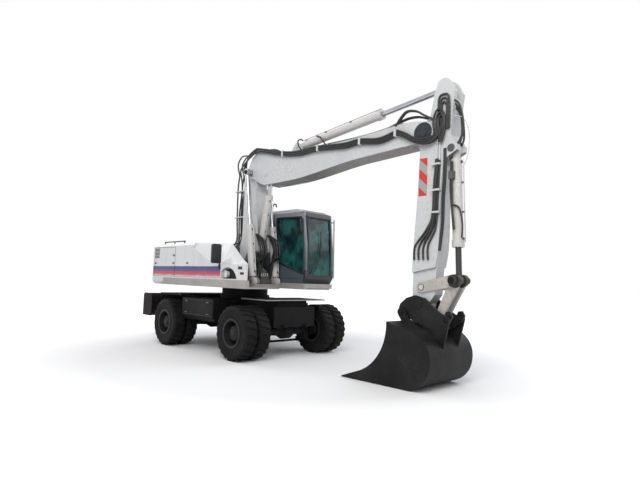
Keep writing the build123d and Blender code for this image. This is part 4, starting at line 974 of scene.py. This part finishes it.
at_foot = swept("foot_hoses", None, hose_black,
    [[(-0.395, y, 2.62), (-0.35, y - 0.04, 2.45), (-0.27, -0.252 - i * 0.036, 2.30),
      (-0.23, -0.262 - i * 0.036, 2.0), (-0.13, -0.272 - i * 0.036, 1.7), (0.02, -0.272 - i * 0.036, 1.43)]
     for i, y in enumerate(rear_ys[2::-1])]
    + [[(-0.28, y, 2.62), (-0.23, y - 0.05, 2.42), (-0.20, -0.252 - i * 0.036, 2.25),
        (-0.15, -0.262 - i * 0.036, 1.95), (-0.05, -0.272 - i * 0.036, 1.7), (0.10, -0.272 - i * 0.036, 1.43)]
       for i, y in enumerate(rear_ys[:2:-1])]
    + [[(-0.215, y, 2.62), (-0.20, y - 0.05, 2.48), (-0.150, y - 0.13, 2.25), (-0.07, y - 0.15, 1.95),
        (0.05, y - 0.15, 1.7), (0.17, y - 0.15, 1.43)] for y in (-0.12, -0.07)], 0.018)
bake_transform(at_foot)
from_valve = swept("valve_hoses", None, hose_black,
    [[(x, 0.140 * way, 1.50), (x, y * way, 1.60), (x + 0.06, y * way, 1.86), (0.66 + lean, y * way, 2.04),
      (0.70 + lean, y * way, 2.22), (0.60 + lean, y * way, 2.42), (0.455, y * way, 2.56)]
     for way in (-1, 1)
     for x, y, lean in ((0.455, 0.190, 0.06), (0.515, 0.166, 0.00), (0.590, 0.142, 0.05),
                        (0.420, 0.190, 0.14), (0.550, 0.184, -0.06), (0.480, 0.152, 0.11))], 0.019)
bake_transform(from_valve)
side_run = (
    (0.436, 4.455), (0.80, 4.370), (1.321, 4.232), (1.861, 4.153), (2.358, 4.160), (3.106, 4.088), (3.472, 4.097),
    (3.930, 4.030), (4.310, 4.097))
swept("upper_boom_hoses", "upper_boom", hose_black,
    [[(x, y, z + lift) for x, z in side_run] for y, lift in bundle]
    + [at_side(y, (0.436, 4.470), (0.90, 4.420), (1.30, 4.285), (2.539, 4.250), (3.364, 4.238), (3.939, 4.262),
               (4.154, 4.300)) for y in (-0.100, -0.068)], 0.0175)
forged("upper_boom_clamps", "upper_boom", pale_clamp,
    [brick(x - 0.024, x + 0.024, -0.282, -0.199, z - 0.060, z + 0.062)
     for x, z in ((1.35, 4.226), (2.41, 4.158), (3.49, 4.094), (4.28, 4.090))]
    + [brick(x - 0.016, x + 0.016, -0.125, -0.045, 4.190, z + 0.020) for x, z in ((2.539, 4.250), (3.364, 4.238),
                                                                                (3.939, 4.262))], 0.005)
over_pivot = swept("pivot_hoses", None, hose_black,
    [[(4.310, y, 4.097 + lift), (4.480, y, 4.010 + lift), (4.653, y, 3.905 + lift), (4.850, y, 3.850 + lift),
      (5.000, y + 0.02, 3.880 + lift), (5.115, y + 0.04, 3.986 + lift)]
     for y, lift in bundle]
    + [[(4.154, y, 4.300), (4.400, y, 4.350), (4.623, y, 4.335), (4.800, y, 4.270), (4.900, y, 4.240)]
       for y in (-0.100, -0.068)]
    + [[(4.250, y, 4.230), (4.440, y, 4.420), (4.640, y, 4.400), (4.800, y, 4.300), (4.960, y + 0.03, 4.200)]
       for y in (-0.215, -0.180)], 0.0175)
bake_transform(over_pivot)
to_arm_ram = swept("arm_ram_hoses", None, hose_black,
    [at_side(-0.10, (1.795, 4.455), (1.730, 4.500), (1.640, 4.470), (1.700, 4.330), (1.860, 4.215)),
     at_side(-0.10, (2.200, 4.480), (2.300, 4.440), (2.400, 4.330), (2.514, 4.200))], 0.014)
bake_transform(to_arm_ram)
swept("arm_head_hoses", "arm", hose_black,
    [at_side(-0.178, (5.115 + i * 0.022, 3.980), (5.066 + i * 0.030, 4.120), (5.059 + i * 0.028, 4.500 - i * 0.060),
             (5.150, 4.564 - i * 0.062), (5.240 - i * 0.020, 4.480 - i * 0.060), (5.246 - i * 0.022, 4.000))
       for i in range(3)]
    + [at_side(-0.212, (5.000 + i * 0.040, 3.960), (4.985 + i * 0.050, 4.180), (5.060 + i * 0.040, 4.330 - i * 0.050),
               (5.170, 4.250 - i * 0.060), (5.190 - i * 0.030, 4.020), (5.140 - i * 0.030, 3.800)) for i in range(3)]
    + [at_side(y, (5.280, 4.470 - i * 0.05), (5.388 - i * 0.015, 4.356 - i * 0.06), (5.450 - i * 0.030, 4.099),
               (5.430 - i * 0.020, 3.860), (5.350 - i * 0.010, 3.740))
       for i, y in enumerate((-0.120, -0.085, -0.045, 0.060))],
    0.0165)
swept("arm_face_pipes", "arm", plated,
    [at_side(-0.170, (x, 3.960), (x, 3.500)) for x in (5.035, 5.085)], 0.012, 8, 0.10)
swept("arm_face_hoses", "arm", hose_black,
    [at_side(-0.176, (5.020 + i * 0.022, 3.520), (4.985 + i * 0.025, 3.000), (4.975 + i * 0.025, 2.662),
             (4.850 + i * 0.055, 2.420), (4.655 + i * 0.080, 2.180), (4.640 + i * 0.085, 1.960)) for i in range(4)]
    + [at_side(-0.205, (5.040 + i * 0.028, 3.540), (5.005 + i * 0.030, 3.100), (4.990 + i * 0.030, 2.720),
               (4.930 + i * 0.040, 2.450), (4.790 + i * 0.060, 2.250)) for i in range(2)]
    + [at_side(-0.150, (5.150 + i * 0.030, 3.700), (5.150 + i * 0.028, 3.300), (5.125 + i * 0.030, 2.900),
               (5.120 + i * 0.025, 2.520), (5.075 + i * 0.020, 2.100)) for i in range(2)], 0.0165)
forged("arm_clamps", "arm", pale_clamp,
    [brick(4.955, 5.110, -0.224, -0.154, z - 0.016, z + 0.016) for z in (3.46, 3.05, 2.70)], 0.004)
swept("pale_line", "arm", pale_clamp,
    [at_side(-0.110, (5.300, 4.200), (5.440, 4.138), (5.540, 3.926), (5.541, 3.617), (5.470, 3.400), (5.380, 3.330))],
    0.007, 8)
swept("bucket_ram_hoses", "bucket_ram_tube", hose_black,
    [at_side(-0.115, (5.250, 3.480), (5.240, 3.100), (5.262, 2.806), (5.300, 2.420)),
     at_side(-0.140, (5.290, 3.480), (5.282, 3.100), (5.290, 2.750), (5.330, 2.420)),
     at_side(-0.100, (5.290, 2.806), (5.390, 2.740), (5.442, 2.500), (5.432, 2.290))], 0.0135)
forged("hose_valve", "bucket_ram_tube", cast_grey, [brick(5.225, 5.310, -0.160, -0.082, 3.200, 3.330)], 0.006)

# ================================================================ bucket and coupler
# Heavy plate in black paint scoured to dark steel along the edges, with a bolted lip
# and wear strips under the floor. The coupler's pins end in round keepers.
bucket_steel = worn("bucket steel", (0.013, 0.013, 0.014), (0.005, 0.005, 0.006), (0.040, 0.038, 0.036), rough=0.45,
    chips=0.78, shine=0.2)
dress(bucket_steel, "bucket", "coupler")
scoured = worn("scoured steel", (0.055, 0.052, 0.05), (0.03, 0.028, 0.027), (0.05, 0.036, 0.027), rough=0.42, shine=0.3,
    chips=0.72)
forged("lip_edge", "bucket", scoured,
    [slab([(3.520, 0.010), (3.700, 0.004), (3.800, 0.004), (3.800, 0.014), (3.700, 0.014)], -0.618, 0.618)], 0.002)
forged("wear_strips", "bucket", scoured,
    [slab([(3.95, 0.002), (4.70, 0.002), (4.70, 0.014), (3.95, 0.014)], y - 0.035, y + 0.035)
     for y in (-0.45, -0.15, 0.15, 0.45)],
    0.002)
forged("lip_bolts", "bucket", grey_edge,
    [lathed((3.66, y, 0.045), (-0.35, 0, 1), ((0, 0.020), (0.012, 0.020), (0.016, 0.013)), 6)
     for y in (-0.50, -0.30, -0.10, 0.10, 0.30, 0.50)])
forged("coupler_keepers", "bucket", black_steel,
    [lathed((x, way * 0.236, z), (0, way, 0), ((0, 0.042), (0.010, 0.042), (0.013, 0.036)), 28)
     for x, z in ((4.450, 1.120), (5.250, 1.060)) for way in (-1, 1)])
